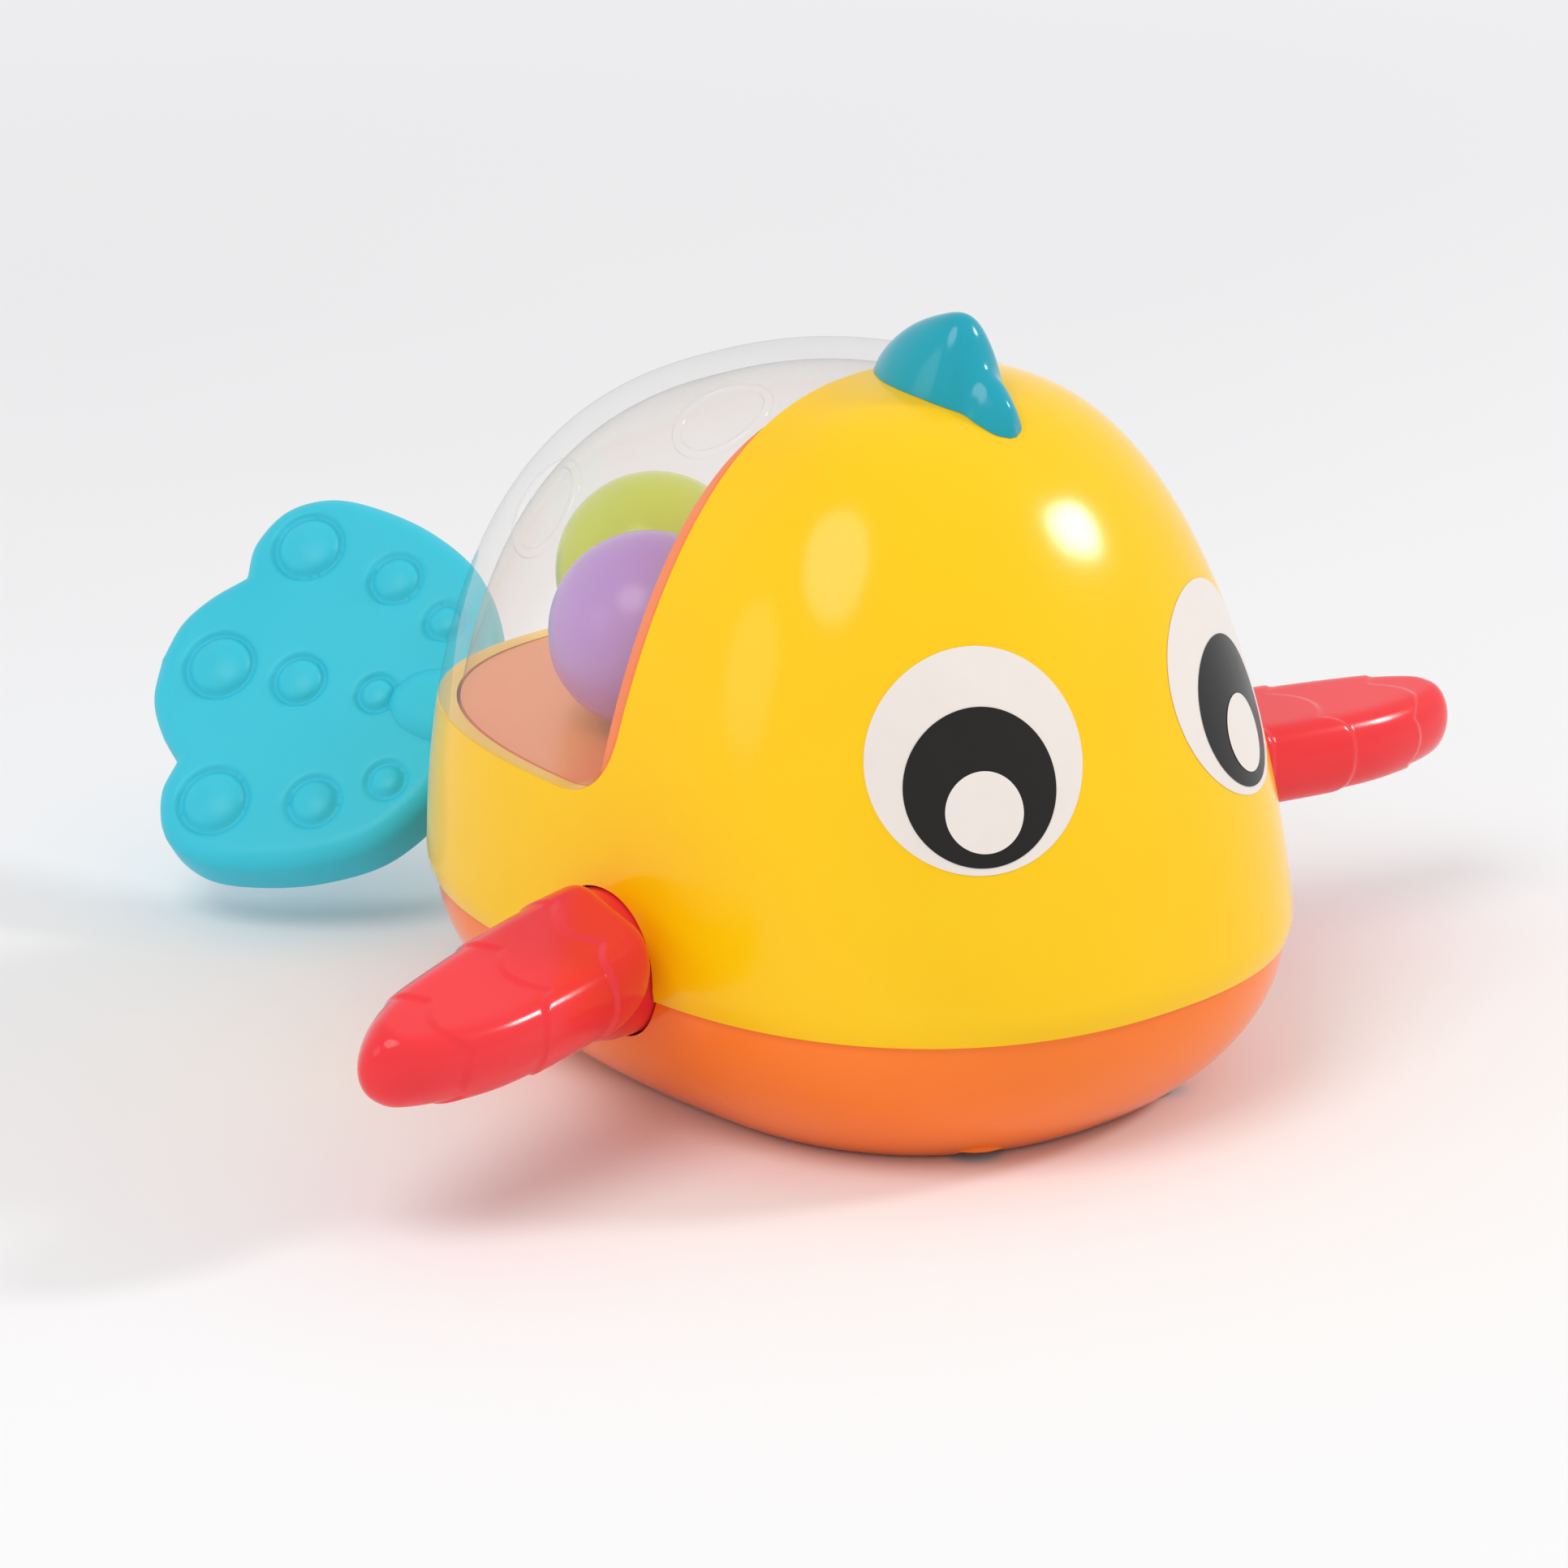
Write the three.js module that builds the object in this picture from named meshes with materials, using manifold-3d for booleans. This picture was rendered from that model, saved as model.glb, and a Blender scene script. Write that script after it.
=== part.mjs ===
// Swimming fish bath toy. Millimetres, nose +X, left side +Y, up +Z.
// The origin lies on the flat base of the hull, under the highest point of the back.
import * as THREE from 'three';
import { mergeVertices } from 'three/addons/utils/BufferGeometryUtils.js';
import Module from 'manifold-3d';

const wasm = await Module();
wasm.setup();

// Body form: plan sizes at the seam, measured from the highest point of the back
const hullDepth = 17;
const shellHeight = 62.2;
const noseLength = 41;
const rearLength = 60;
const halfWidth = 40;
const girthHeight = 2.2;
const girthTuck = 0.013;
const planPowerFront = 2.26;
const planPowerRear = 2.59;
const nosePower = [1.1, 2.5];
const rearPower = [2.6, 2.88];
const sidePower = [1.8, 2.82];
const hullRoundDepth = 24;
const hullInset = 0.4;
const ringPoints = 32;

// Walls and fits
const shellWall = 2;
const hullWall = 2;
const domeWall = 2.4;
const flangeWall = 1.5;
const flangeReach = 3;
const flangeGap = 0.2;
const trayWall = 2;
const joinGap = 0.3;
const slideGap = 0.25;
const seamGap = 0.1;
const lipWall = 1.4;
const lipHeight = 2.5;

// Window for the dome, heights from the seam
const windowFrontTop = -4.8;
const windowFrontLow = -8.4;
const windowSill = 19.7;
const windowCorner = 8;

// Fin axle and openings
const axleX = -7.3;
const axleZ = 2.3;
const axleRadius = 2;
const axleHalfLength = 46;
const hubRadius = 8.3;
const hubInner = 34;

const bladeThick = 10;
const bladeLift = 5.5;
const bladeGap = 1.2;
const flareLength = 11;
const finPhaseRight = 18;
const finPhaseLeft = 6;
const hubGap = 0.4;
const scaleStep = 0.35;
const bladeRound = 3.2;

// Spring motor
const gearModule = 0.7;
const spoolTeeth = 30;
const pinionTeeth = 12;
const gearWidth = 4;
const gearBacklash = 0.3;
const centreSlack = 0.1;
const drumRadius = 5.5;
const drumHalf = 4;
const drumFlange = 8.4;
const flangeThick = 1;
const spoolShaftRadius = 1.5;
const sleeveWall = 1.5;
const springTurns = 4;
const springStrip = 0.5;
const springPitch = 1.4;
const springWidth = 3;
const caseHalf = 13;
const caseWall = 1.6;
const caseRoom = 4;
const gearClear = 1;
const postInset = 3.4;
const postRadius = 2.6;
const caseScrewRadius = 1;
const caseScrewHead = 2;
const caseScrewStart = 3;
const caseScrewCap = 1.4;
const axleBushWall = 2;
const axleBushLength = 3;

// Cord and tail
const cordRadius = 0.8;
const cordHeight = 5.6;
const bushRadius = 4;
const bushFlange = 6;
const mouthReach = 2.3;
const bushLength = 8;
const collarThick = 1.6;
const cordPlay = 0.6;
const tailYaw = 24.2;
const tailPitch = -2.3;
const tailRoll = 44.9;
const tailThick = 8;
const tailEdge = 2.2;
const tailStart = 2.5;
const neckRadius = 6.5;
const mouthRadius = 2;
const anchorRadius = 3.2;
const anchorCollar = 4.3;
const knotRadius = 2;
const knotAt = 8;
const knotGap = 0.3;
const cordStart = 0.5;
const cordBend = 0.6;
const cordTuck = 0.2;
const anchorFoot = 2.5;
const collarLength = 2;
const neckEnd = 6;
const grooveDepth = 0.7;
const grooveWidth = 0.9;

// Balls, crest, eyes and screws
const ballRadius = 11.2;
const purpleFromWindow = 15.6;
const purpleSide = -17.4;
const limeFromRear = 19.6;
const ballsAcross = 15.8;
const ballsApart = 0.37;
const eyeAngle = 29.5;
const eyeHeight = 30;
const eyeRadius = 12.1;
const pupilRadius = 8.5;
const pupilDrop = 2.8;
const glintRadius = 4.35;
const glintDrop = 5.4;
const filmThick = 0.15;
const filmGap = 0.08;
const pegRadius = 2.2;
const screwRadius = 1.4;
const screwHead = 2.8;
const screwHeadThick = 2.4;
const screwBite = 10.5;
const screwHoleSpare = 0.5;
const ribHalf = 1;
const ribTop = 12;
const towerWall = 0.8;
const bossRadius = 3.2;
const screwSpots = [[24, 14], [24, -14], [-33, 19], [-33, -19]];

const seam = hullDepth;
const bladeStart = halfWidth + bladeGap;
const bushMouth = -(rearLength + mouthReach);
const screwSeat = hullDepth / 2;
const part = new THREE.Group();
part.name = 'swimming_fish_bath_toy';

// Solids in and out of the boolean library
function solid(geometry) {
  const bare = geometry.clone();
  bare.deleteAttribute('normal');
  bare.deleteAttribute('uv');
  const joined = mergeVertices(bare, 1e-5);
  const vertProperties = new Float32Array(joined.attributes.position.array);
  const triVerts = new Uint32Array(joined.index.array);
  return new wasm.Manifold(new wasm.Mesh({ numProp: 3, vertProperties, triVerts }));
}

function add(name, shape, color, extra = {}) {
  const mesh = shape.getMesh();
  const geometry = new THREE.BufferGeometry();
  geometry.setAttribute('position', new THREE.BufferAttribute(new Float32Array(mesh.vertProperties), 3));
  geometry.setIndex(new THREE.BufferAttribute(new Uint32Array(mesh.triVerts), 1));
  geometry.computeVertexNormals();
  const item = new THREE.Mesh(geometry, new THREE.MeshStandardMaterial({ color, ...extra }));
  item.name = name;
  part.add(item);
}

function join(...shapes) {
  return shapes.reduce((sum, next) => sum.add(next));
}

function cut(from, ...tools) {
  return tools.reduce((left, tool) => left.subtract(tool), from);
}

function moved(geometry, x, y, z) {
  return solid(geometry.clone().translate(x, y, z));
}

function block(x0, x1, y0, y1, z0, z1) {
  const geometry = new THREE.BoxGeometry(x1 - x0, y1 - y0, z1 - z0);
  return moved(geometry, (x0 + x1) / 2, (y0 + y1) / 2, (z0 + z1) / 2);
}

function rodY(radius, y0, y1, x, z, sides = 18) {
  const geometry = new THREE.CylinderGeometry(radius, radius, y1 - y0, sides);
  return moved(geometry, x, (y0 + y1) / 2, z);
}

function rodX(radius, x0, x1, y, z, sides = 14) {
  const geometry = new THREE.CylinderGeometry(radius, radius, x1 - x0, sides).rotateZ(Math.PI / 2);
  return moved(geometry, (x0 + x1) / 2, y, z);
}

function rodZ(radius, z0, z1, x, y, sides = 10) {
  const geometry = new THREE.CylinderGeometry(radius, radius, z1 - z0, sides).rotateX(Math.PI / 2);
  return moved(geometry, x, y, (z0 + z1) / 2);
}

// A solid from points and triangles, turned to face out
function closedSkin(position, index) {
  let volume = 0;
  const at = (i) => new THREE.Vector3().fromArray(position, 3 * index[i]);
  for (let i = 0; i < index.length; i += 3) volume += at(i).dot(at(i + 1).cross(at(i + 2)));
  if (volume < 0) index.reverse();
  const geometry = new THREE.BufferGeometry();
  geometry.setAttribute('position', new THREE.BufferAttribute(new Float32Array(position), 3));
  geometry.setIndex(index);
  return solid(geometry);
}

// A closed skin through a stack of rings, with a flat cap on each end
function loft(rings) {
  const count = rings[0].length;
  const position = [];
  const index = [];
  for (const ring of rings) for (const point of ring) position.push(...point);
  for (let level = 0; level + 1 < rings.length; level += 1) {
    for (let i = 0; i < count; i += 1) {
      const a = level * count + i;
      const b = level * count + (i + 1) % count;
      index.push(a, b, b + count, a, b + count, a + count);
    }
  }
  for (const end of [0, rings.length - 1]) {
    const middle = new THREE.Vector3();
    for (const point of rings[end]) middle.add(new THREE.Vector3(...point));
    middle.divideScalar(count);
    const hub = position.length / 3;
    position.push(middle.x, middle.y, middle.z);
    for (let i = 0; i < count; i += 1) {
      const a = end * count + i;
      const b = end * count + (i + 1) % count;
      if (end === 0) index.push(hub, b, a);
      else index.push(hub, a, b);
    }
  }
  return closedSkin(position, index);
}

function signedPower(value, power) {
  return Math.sign(value) * Math.abs(value) ** power;
}

// Body section at a height above the seam, drawn in by an inset on all sides
function bodyRing(height, inset = 0, points = ringPoints) {
  const top = shellHeight - inset;
  const rise = Math.min(1, Math.max(0, (height - girthHeight) / (top - girthHeight)));
  const below = Math.max(0, (girthHeight - height) / girthHeight);
  const tuck = 1 - girthTuck * Math.min(1, below) ** 2;
  const taper = ([a, b]) => tuck * Math.max(0, 1 - rise ** a) ** (1 / b);
  const front = (noseLength - inset) * taper(nosePower);
  const rear = (rearLength - inset) * taper(rearPower);
  const side = (halfWidth - inset) * taper(sidePower);
  const ring = [];
  for (let i = 0; i < points; i += 1) {
    const angle = 2 * Math.PI * i / points;
    const c = Math.cos(angle);
    const s = Math.sin(angle);
    const power = 2 / (c >= 0 ? planPowerFront : planPowerRear);
    ring.push([(c >= 0 ? front : rear) * signedPower(c, power), side * signedPower(s, power), seam + height]);
  }
  return ring;
}

const shellLevels = [0, 0.035, 0.2, 0.36, 0.5, 0.63, 0.74, 0.83, 0.9, 0.95, 0.982, 0.997];

function bodySolid(inset, start = 0) {
  const top = shellHeight - inset;
  return loft(shellLevels.map((level) => bodyRing(start + level * (top - start), inset)));
}

// Hull section at a depth under the seam, drawn in by an inset
function hullRing(depth, inset) {
  const round = Math.sqrt(1 - (depth / hullRoundDepth) ** 2);
  return bodyRing(0, inset).map(([x, y]) => [x * round, y * round, seam - depth]);
}

function hullSolid(inset, bottom, top) {
  const steps = 4;
  const rings = [];
  for (let i = 0; i <= steps; i += 1) rings.push(hullRing(bottom + (top - bottom) * i / steps, inset));
  return loft(rings);
}

// Side outline of the window, grown outwards and pushed through the whole width
function windowPrism(grow) {
  const far = 2 * rearLength;
  const high = seam + 2 * shellHeight;
  const sill = seam + windowSill - grow;
  const slope = (windowFrontTop - windowFrontLow) / (shellHeight - windowSill);
  const frontAt = (z) => windowFrontLow + grow + slope * (z - seam - windowSill);
  const round = windowCorner + grow;
  const outline = new THREE.Shape();
  outline.moveTo(-far, high);
  outline.lineTo(-far, sill);
  outline.lineTo(frontAt(sill) - round, sill);
  outline.quadraticCurveTo(frontAt(sill), sill, frontAt(sill + round), sill + round);
  outline.lineTo(frontAt(high), high);
  const depth = 4 * halfWidth;
  const geometry = new THREE.ExtrudeGeometry(outline, { depth, bevelEnabled: false, curveSegments: 6 });
  return solid(geometry.rotateX(Math.PI / 2).translate(0, depth / 2, 0));
}

// Fixed skin: shell, hull, dome and tray
const hubOpening = rodY(hubRadius + hubGap, -2 * halfWidth, 2 * halfWidth, axleX, seam + axleZ, 24);
const bushHole = rodX(bushRadius + joinGap, 2 * bushMouth, -rearLength / 2, 0, seam + cordHeight);
const crestPegs = [1, 8];

function makeShell() {
  const columns = [];
  const holes = [];
  for (const [x, y] of screwSpots) {
    const top = x > 0 ? shellHeight : windowSill - trayWall - joinGap;
    columns.push(rodZ(bossRadius, seam + joinGap, seam + top, x, y));
    if (x < 0) {
      const wall = Math.sign(y) * halfWidth;
      const ribFoot = seam + lipHeight + shellWall;
      const [inner, outer] = [Math.min(y, wall), Math.max(y, wall)];
      columns.push(block(x - ribHalf, x + ribHalf, inner, outer, ribFoot, seam + ribTop));
    }
    holes.push(rodZ(screwRadius + joinGap, seam, seam + screwBite + screwHoleSpare, x, y));
  }
  const bosses = join(...columns).intersect(bodySolid(shellWall / 2));
  const pegHole = (x) => rodZ(pegRadius + slideGap, seam + shellHeight / 2, 2 * seam + shellHeight, x, 0);
  const pegHoles = crestPegs.map(pegHole);
  const skin = cut(bodySolid(0), bodySolid(shellWall).translate([0, 0, -seamGap]));
  const opened = cut(skin, windowPrism(0), bushHole, ...pegHoles);
  const wide = 2 * halfWidth;
  const long = 2 * rearLength;
  const above = block(-long, long, -wide, wide, seam + seamGap, seam + 2 * shellHeight);
  return cut(join(opened, bosses), hubOpening, ...holes).intersect(above);
}

function makeHull() {
  const bowl = hullSolid(hullInset, hullDepth, 0);
  const inside = hullSolid(hullInset + hullWall, hullDepth - hullWall, -seamGap);
  const lipOut = shellWall + joinGap;
  const lip = cut(
    loft([-1, lipHeight].map((z) => bodyRing(z, lipOut))),
    loft([-2, lipHeight + 1].map((z) => bodyRing(z, lipOut + lipWall))),
  );
  const towers = [];
  const holes = [];
  for (const [x, y] of screwSpots) {
    towers.push(rodZ(bossRadius + towerWall, hullWall / 2, seam - seamGap, x, y));
    holes.push(rodZ(screwRadius + joinGap, -1, seam + 1, x, y));
    holes.push(rodZ(screwHead + joinGap, -1, screwSeat, x, y));
  }
  return cut(join(cut(bowl, inside), lip, ...towers), hubOpening, bushHole, ...holes);
}

function makeDome() {
  const pane = cut(bodySolid(0), bodySolid(domeWall)).intersect(windowPrism(-joinGap));
  const shellInside = shellWall + flangeGap;
  const ledge = cut(bodySolid(shellInside), bodySolid(shellInside + flangeWall));
  return join(pane, cut(ledge.intersect(windowPrism(flangeReach)), windowPrism(-flangeReach)));
}

function makeTray() {
  const reach = shellWall + flangeWall + flangeGap + joinGap;
  return cut(bodySolid(reach).intersect(windowPrism(trayWall)), windowPrism(0));
}

add('upper_shell', makeShell(), 0xffc914);
add('lower_hull', makeHull(), 0xfb7a24);
add('clear_dome', makeDome(), 0xe4e8ea, { transparent: true, opacity: 0.35 });
add('ball_tray', makeTray(), 0xf58a4a);

// Loose balls on the tray: the lime one leans on the purple one
const purpleAt = [windowFrontLow - purpleFromWindow, purpleSide];
const limeX = limeFromRear - rearLength;
const reach = (2 * ballRadius + ballsApart) ** 2 - (purpleAt[0] - limeX) ** 2;
const limeAt = [limeX, purpleSide + Math.max(ballsAcross, Math.sqrt(Math.max(0, reach)))];

function makeBall([x, y]) {
  return moved(new THREE.SphereGeometry(ballRadius, 14, 8), x, y, seam + windowSill + slideGap + ballRadius);
}
add('ball_purple', makeBall(purpleAt), 0xa97fd0);
add('ball_lime', makeBall(limeAt), 0xb9cc3c);

// Dorsal crest: x, height of the top above the back, half width
const crestStations = [[-6.6, -1.6, 1.2], [-5, 2.2, 4.6], [-1, 5.2, 6.6], [3, 7.2, 7.2], [6.5, 8, 6.4],
  [8.5, 6.4, 5.6], [10.2, 2.8, 4.8], [12, 1.2, 4.3], [13.8, -0.8, 3], [14.6, -3, 1]];
const crestSink = 10.2;
const pegSink = 5;

function crestRing([x, top, half]) {
  const ring = [];
  const steps = 10;
  const base = seam + shellHeight - crestSink;
  for (let i = 0; i <= steps; i += 1) {
    const angle = Math.PI * i / steps;
    const peak = Math.sin(angle) ** 1.3;
    ring.push([x, half * Math.cos(angle), base + (top + crestSink) * peak]);
  }
  ring.push([x, -half, base - 1], [x, half, base - 1]);
  return ring;
}

function makeCrest() {
  const crown = cut(loft(crestStations.map(crestRing)), bodySolid(-seamGap));
  const back = seam + shellHeight;
  const pegs = crestPegs.map((x) => rodZ(pegRadius, back - pegSink, back + shellWall, x, 0));
  return join(crown, ...pegs);
}
add('dorsal_fin', makeCrest(), 0x129fb4);

// Eye films, laid on the shell round a tilted centre
function bodyPoint(angle, height, side, lift) {
  const rise = Math.max(0, (height - girthHeight) / (shellHeight - girthHeight));
  const taper = ([a, b]) => Math.max(0, 1 - rise ** a) ** (1 / b);
  const power = 2 / planPowerFront;
  const x = (noseLength * taper(nosePower) + lift) * Math.abs(Math.cos(angle)) ** power;
  const y = (halfWidth * taper(sidePower) + lift) * Math.abs(Math.sin(angle)) ** power;
  return new THREE.Vector3(x, side * y, seam + height);
}

function makeFilm(side, radius, drop, lift) {
  const centre = THREE.MathUtils.degToRad(eyeAngle);
  const middle = bodyPoint(centre, eyeHeight, side, 0);
  const step = 0.01;
  const along = bodyPoint(centre + step, eyeHeight, side, 0).sub(middle);
  const up = bodyPoint(centre, eyeHeight + step, side, 0).sub(middle);
  const perAngle = along.length() / step;
  const perHeight = up.length() / step;
  const rings = 2;
  const around = 18;
  const layers = [lift, lift + filmThick];
  const position = [];
  const index = [];
  for (const height of layers) {
    for (let r = 0; r <= rings; r += 1) {
      for (let i = 0; i < around; i += 1) {
        const turn = 2 * Math.PI * i / around;
        const u = radius * r / rings * Math.cos(turn);
        const v = radius * r / rings * Math.sin(turn) - drop;
        const point = bodyPoint(centre + u / perAngle, eyeHeight + v / perHeight, side, height);
        position.push(point.x, point.y, point.z);
      }
    }
  }
  const level = (rings + 1) * around;
  const quad = (a, b, c, d) => index.push(a, b, c, a, c, d);
  for (let r = 0; r < rings; r += 1) {
    for (let i = 0; i < around; i += 1) {
      const a = r * around + i;
      const b = r * around + (i + 1) % around;
      quad(level + a, level + a + around, level + b + around, level + b);
      quad(a, b, b + around, a + around);
    }
  }
  for (let i = 0; i < around; i += 1) {
    const a = rings * around + i;
    const b = rings * around + (i + 1) % around;
    quad(a, b, level + b, level + a);
  }
  return closedSkin(position, index);
}

const filmLift = 0.12;
for (const [side, word] of [[-1, 'right'], [1, 'left']]) {
  const second = filmLift + filmThick + filmGap;
  const third = second + filmThick + filmGap;
  add(`eye_white_${word}`, makeFilm(side, eyeRadius, 0, filmLift), 0xf1e9e2);
  add(`eye_pupil_${word}`, makeFilm(side, pupilRadius, pupilDrop, second), 0x121010);
  add(`eye_glint_${word}`, makeFilm(side, glintRadius, glintDrop, third), 0xf1e9e2);
}

// Swimming fins: blade outline as span past the blade's start and chord from the axle
const bladeRear = [[0, -5], [12.8, -2.6], [26.8, 1], [36.8, 4.6]];
const bladeTip = [42.4, 10];
const bladeFront = [[38.8, 15.2], [27.8, 16.6], [14.8, 14.6], [4.8, 12], [0.8, 8.4], [0, 4]];
const scaleEnds = [31.8, 18.8, 7.8];
const scaleWidth = 9;
const scaleBulge = 4;

// Points of an outline moved inwards along its normals
function inward(points, distance) {
  const count = points.length;
  return points.map((point, i) => {
    const run = points[(i + 1) % count].clone().sub(points[(i + count - 1) % count]).normalize();
    return new THREE.Vector2(point.x + distance * run.y, point.y - distance * run.x);
  });
}

// A flat plate with rounded edges: rings of place in the plate and height across it
function roundPlate(points, thick, round, place) {
  const flip = THREE.ShapeUtils.isClockWise(points) ? 1 : -1;
  const steps = 2;
  const rings = [];
  for (const side of [-1, 1]) {
    for (let i = 0; i <= steps; i += 1) {
      const angle = Math.PI / 2 * (side < 0 ? steps - i : i) / steps;
      const height = side * (thick / 2 - round + round * Math.sin(angle));
      const drawn = inward(points, flip * round * (1 - Math.cos(angle)));
      rings.push(drawn.map((p) => place(p.x, p.y, height)));
    }
  }
  return loft(rings);
}

function bladeOutline() {
  const spot = ([span, chord]) => new THREE.Vector2(bladeStart + span, chord);
  const rear = new THREE.SplineCurve(bladeRear.map(spot)).getPoints(5);
  const last = bladeRear[bladeRear.length - 1];
  const nose = [last, bladeTip, ...bladeFront].map(spot);
  return [...rear, ...new THREE.SplineCurve(nose).getPoints(14).slice(1)];
}

function bladeSlab(inset) {
  const place = (span, chord, height) => [chord, span, height + bladeLift];
  const outline = bladeOutline();
  const flip = THREE.ShapeUtils.isClockWise(outline) ? 1 : -1;
  return roundPlate(inward(outline, flip * inset), bladeThick - 2 * inset, bladeRound, place);
}

// One row of scales ends in scallops across the blade
function scaleMask(end) {
  const outline = new THREE.Shape();
  const across = 4;
  outline.moveTo(0, -across * scaleWidth);
  outline.lineTo(end, -across * scaleWidth);
  for (let i = -across; i < across; i += 1) {
    outline.quadraticCurveTo(end + scaleBulge, (i + 0.5) * scaleWidth, end, (i + 1) * scaleWidth);
  }
  outline.lineTo(0, across * scaleWidth);
  const tall = 3 * bladeThick;
  return loft([-tall, tall].map((z) => outline.getPoints(2).map((p) => [p.y, p.x, z])));
}

// The root swells from the round hub into the blade
function makeRoot() {
  const steps = 5;
  const sides = 20;
  const inBlade = [5, bladeLift, 5.6, bladeThick / 2 - 1];
  const rings = [];
  for (let i = 0; i <= steps; i += 1) {
    const share = i / steps;
    const ease = share * share * (3 - 2 * share);
    const mix = (from, to) => from + (to - from) * ease;
    const ring = [];
    for (let k = 0; k < sides; k += 1) {
      const angle = 2 * Math.PI * k / sides;
      const x = mix(0, inBlade[0]) + mix(hubRadius, inBlade[2]) * Math.cos(angle);
      const z = mix(0, inBlade[1]) + mix(hubRadius, inBlade[3]) * Math.sin(angle);
      ring.push([x, bladeStart - bladeGap / 2 + share * flareLength, z]);
    }
    rings.push(ring);
  }
  return loft(rings);
}

function makeFin(phase) {
  const steps = scaleEnds.length;
  let blade = bladeSlab(steps * scaleStep);
  scaleEnds.forEach((end, i) => {
    blade = blade.add(bladeSlab((steps - 1 - i) * scaleStep).intersect(scaleMask(bladeStart + end)));
  });
  const hub = rodY(hubRadius, hubInner, bladeStart - bladeGap / 4, 0, 0, 22);
  const bore = rodY(axleRadius + slideGap / 2, 0, axleHalfLength + joinGap, 0, 0, 16);
  return cut(join(blade, hub, makeRoot()), bore).rotate([0, phase, 0]);
}

const finPlace = [axleX, 0, seam + axleZ];
add('fin_left', makeFin(finPhaseLeft).translate(finPlace), 0xf2303a);
add('fin_right', makeFin(finPhaseRight).mirror([0, 1, 0]).translate(finPlace), 0xf2303a);

// Involute gear about the Y axis; phase turns the first tooth from +X towards +Z
function gearShape(teeth, phase) {
  const pressure = THREE.MathUtils.degToRad(20);
  const pitch = gearModule * teeth / 2;
  const base = pitch * Math.cos(pressure);
  const tip = pitch + 0.85 * gearModule;
  const root = pitch - 1.15 * gearModule;
  const involute = (r) => {
    const t = Math.sqrt(Math.max(0, (r / base) ** 2 - 1));
    return t - Math.atan(t);
  };
  const half = Math.PI / (2 * teeth) - gearBacklash / (4 * pitch);
  const flank = [root, Math.max(base, root), pitch, tip];
  const spread = flank.map((r) => half + involute(pitch) - involute(Math.max(r, base)));
  const points = [];
  for (let k = 0; k < teeth; k += 1) {
    const centre = phase + 2 * Math.PI * k / teeth;
    const at = (i, sign) => {
      const turn = centre + sign * spread[i];
      return new THREE.Vector2(flank[i] * Math.cos(turn), flank[i] * Math.sin(turn));
    };
    const used = [0, 1, 2, 3].filter((i) => i === 0 || flank[i] > flank[i - 1]);
    for (const i of used) points.push(at(i, -1));
    for (const i of used.reverse()) points.push(at(i, 1));
  }
  return new THREE.Shape(points);
}

function gearSolid(teeth, phase, y, x, z) {
  const settings = { depth: gearWidth, bevelEnabled: false };
  const geometry = new THREE.ExtrudeGeometry(gearShape(teeth, phase), settings);
  return solid(geometry.rotateX(Math.PI / 2).translate(x, y + gearWidth, z));
}

// Spring motor: the spool sits behind the axle and its cord leaves at the cord height
const spoolZ = cordHeight - drumRadius - cordRadius;
const gearCentres = gearModule * (spoolTeeth + pinionTeeth) / 2 + centreSlack;
const spoolX = axleX - Math.sqrt(gearCentres ** 2 - (axleZ - spoolZ) ** 2);
const meshLine = Math.atan2(axleZ - spoolZ, axleX - spoolX);
const gearStart = drumHalf + flangeThick;
const axisZ = seam + axleZ;
const spoolAxisZ = seam + spoolZ;

function makeSpool() {
  const drum = rodY(drumRadius, -gearStart, gearStart, spoolX, spoolAxisZ);
  const rims = [-1, 1].map((side) => rodY(drumFlange, Math.min(side * drumHalf, side * gearStart),
    Math.max(side * drumHalf, side * gearStart), spoolX, spoolAxisZ));
  const gear = gearSolid(spoolTeeth, meshLine, gearStart, spoolX, spoolAxisZ);
  const sleeveFoot = -gearStart - springWidth - 2 * flangeGap - flangeThick;
  const sleeve = rodY(spoolShaftRadius + sleeveWall, sleeveFoot, gearStart, spoolX, spoolAxisZ, 16);
  const bore = rodY(spoolShaftRadius + slideGap, -caseHalf, caseHalf, spoolX, spoolAxisZ, 16);
  return cut(join(drum, ...rims, gear, sleeve), bore);
}
add('cord_spool', makeSpool(), 0xf2f2ee);

function makeWinding() {
  const slack = 0.15;
  const half = drumHalf - joinGap;
  const outer = rodY(drumRadius + 2 * cordRadius, -half, half, spoolX, spoolAxisZ);
  return cut(outer, rodY(drumRadius + slack, -drumHalf, drumHalf, spoolX, spoolAxisZ),
    rodX(cordRadius + joinGap, 3 * spoolX, spoolX + 2, 0, seam + cordHeight, 8));
}
add('cord_winding', makeWinding(), 0xf4f4f2);
add('spool_shaft', rodY(spoolShaftRadius, -caseHalf - 1, caseHalf + 1, spoolX, spoolAxisZ, 16), 0xb9bdc2);

const pinion = gearSolid(pinionTeeth, meshLine + Math.PI + Math.PI / pinionTeeth, gearStart, axleX, axisZ);
add('axle_pinion', cut(pinion, rodY(axleRadius + slideGap / 2, 0, caseHalf, axleX, axisZ, 16)), 0xf2f2ee);
add('fin_axle', rodY(axleRadius, -axleHalfLength, axleHalfLength, axleX, axisZ, 16), 0xb9bdc2);

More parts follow.
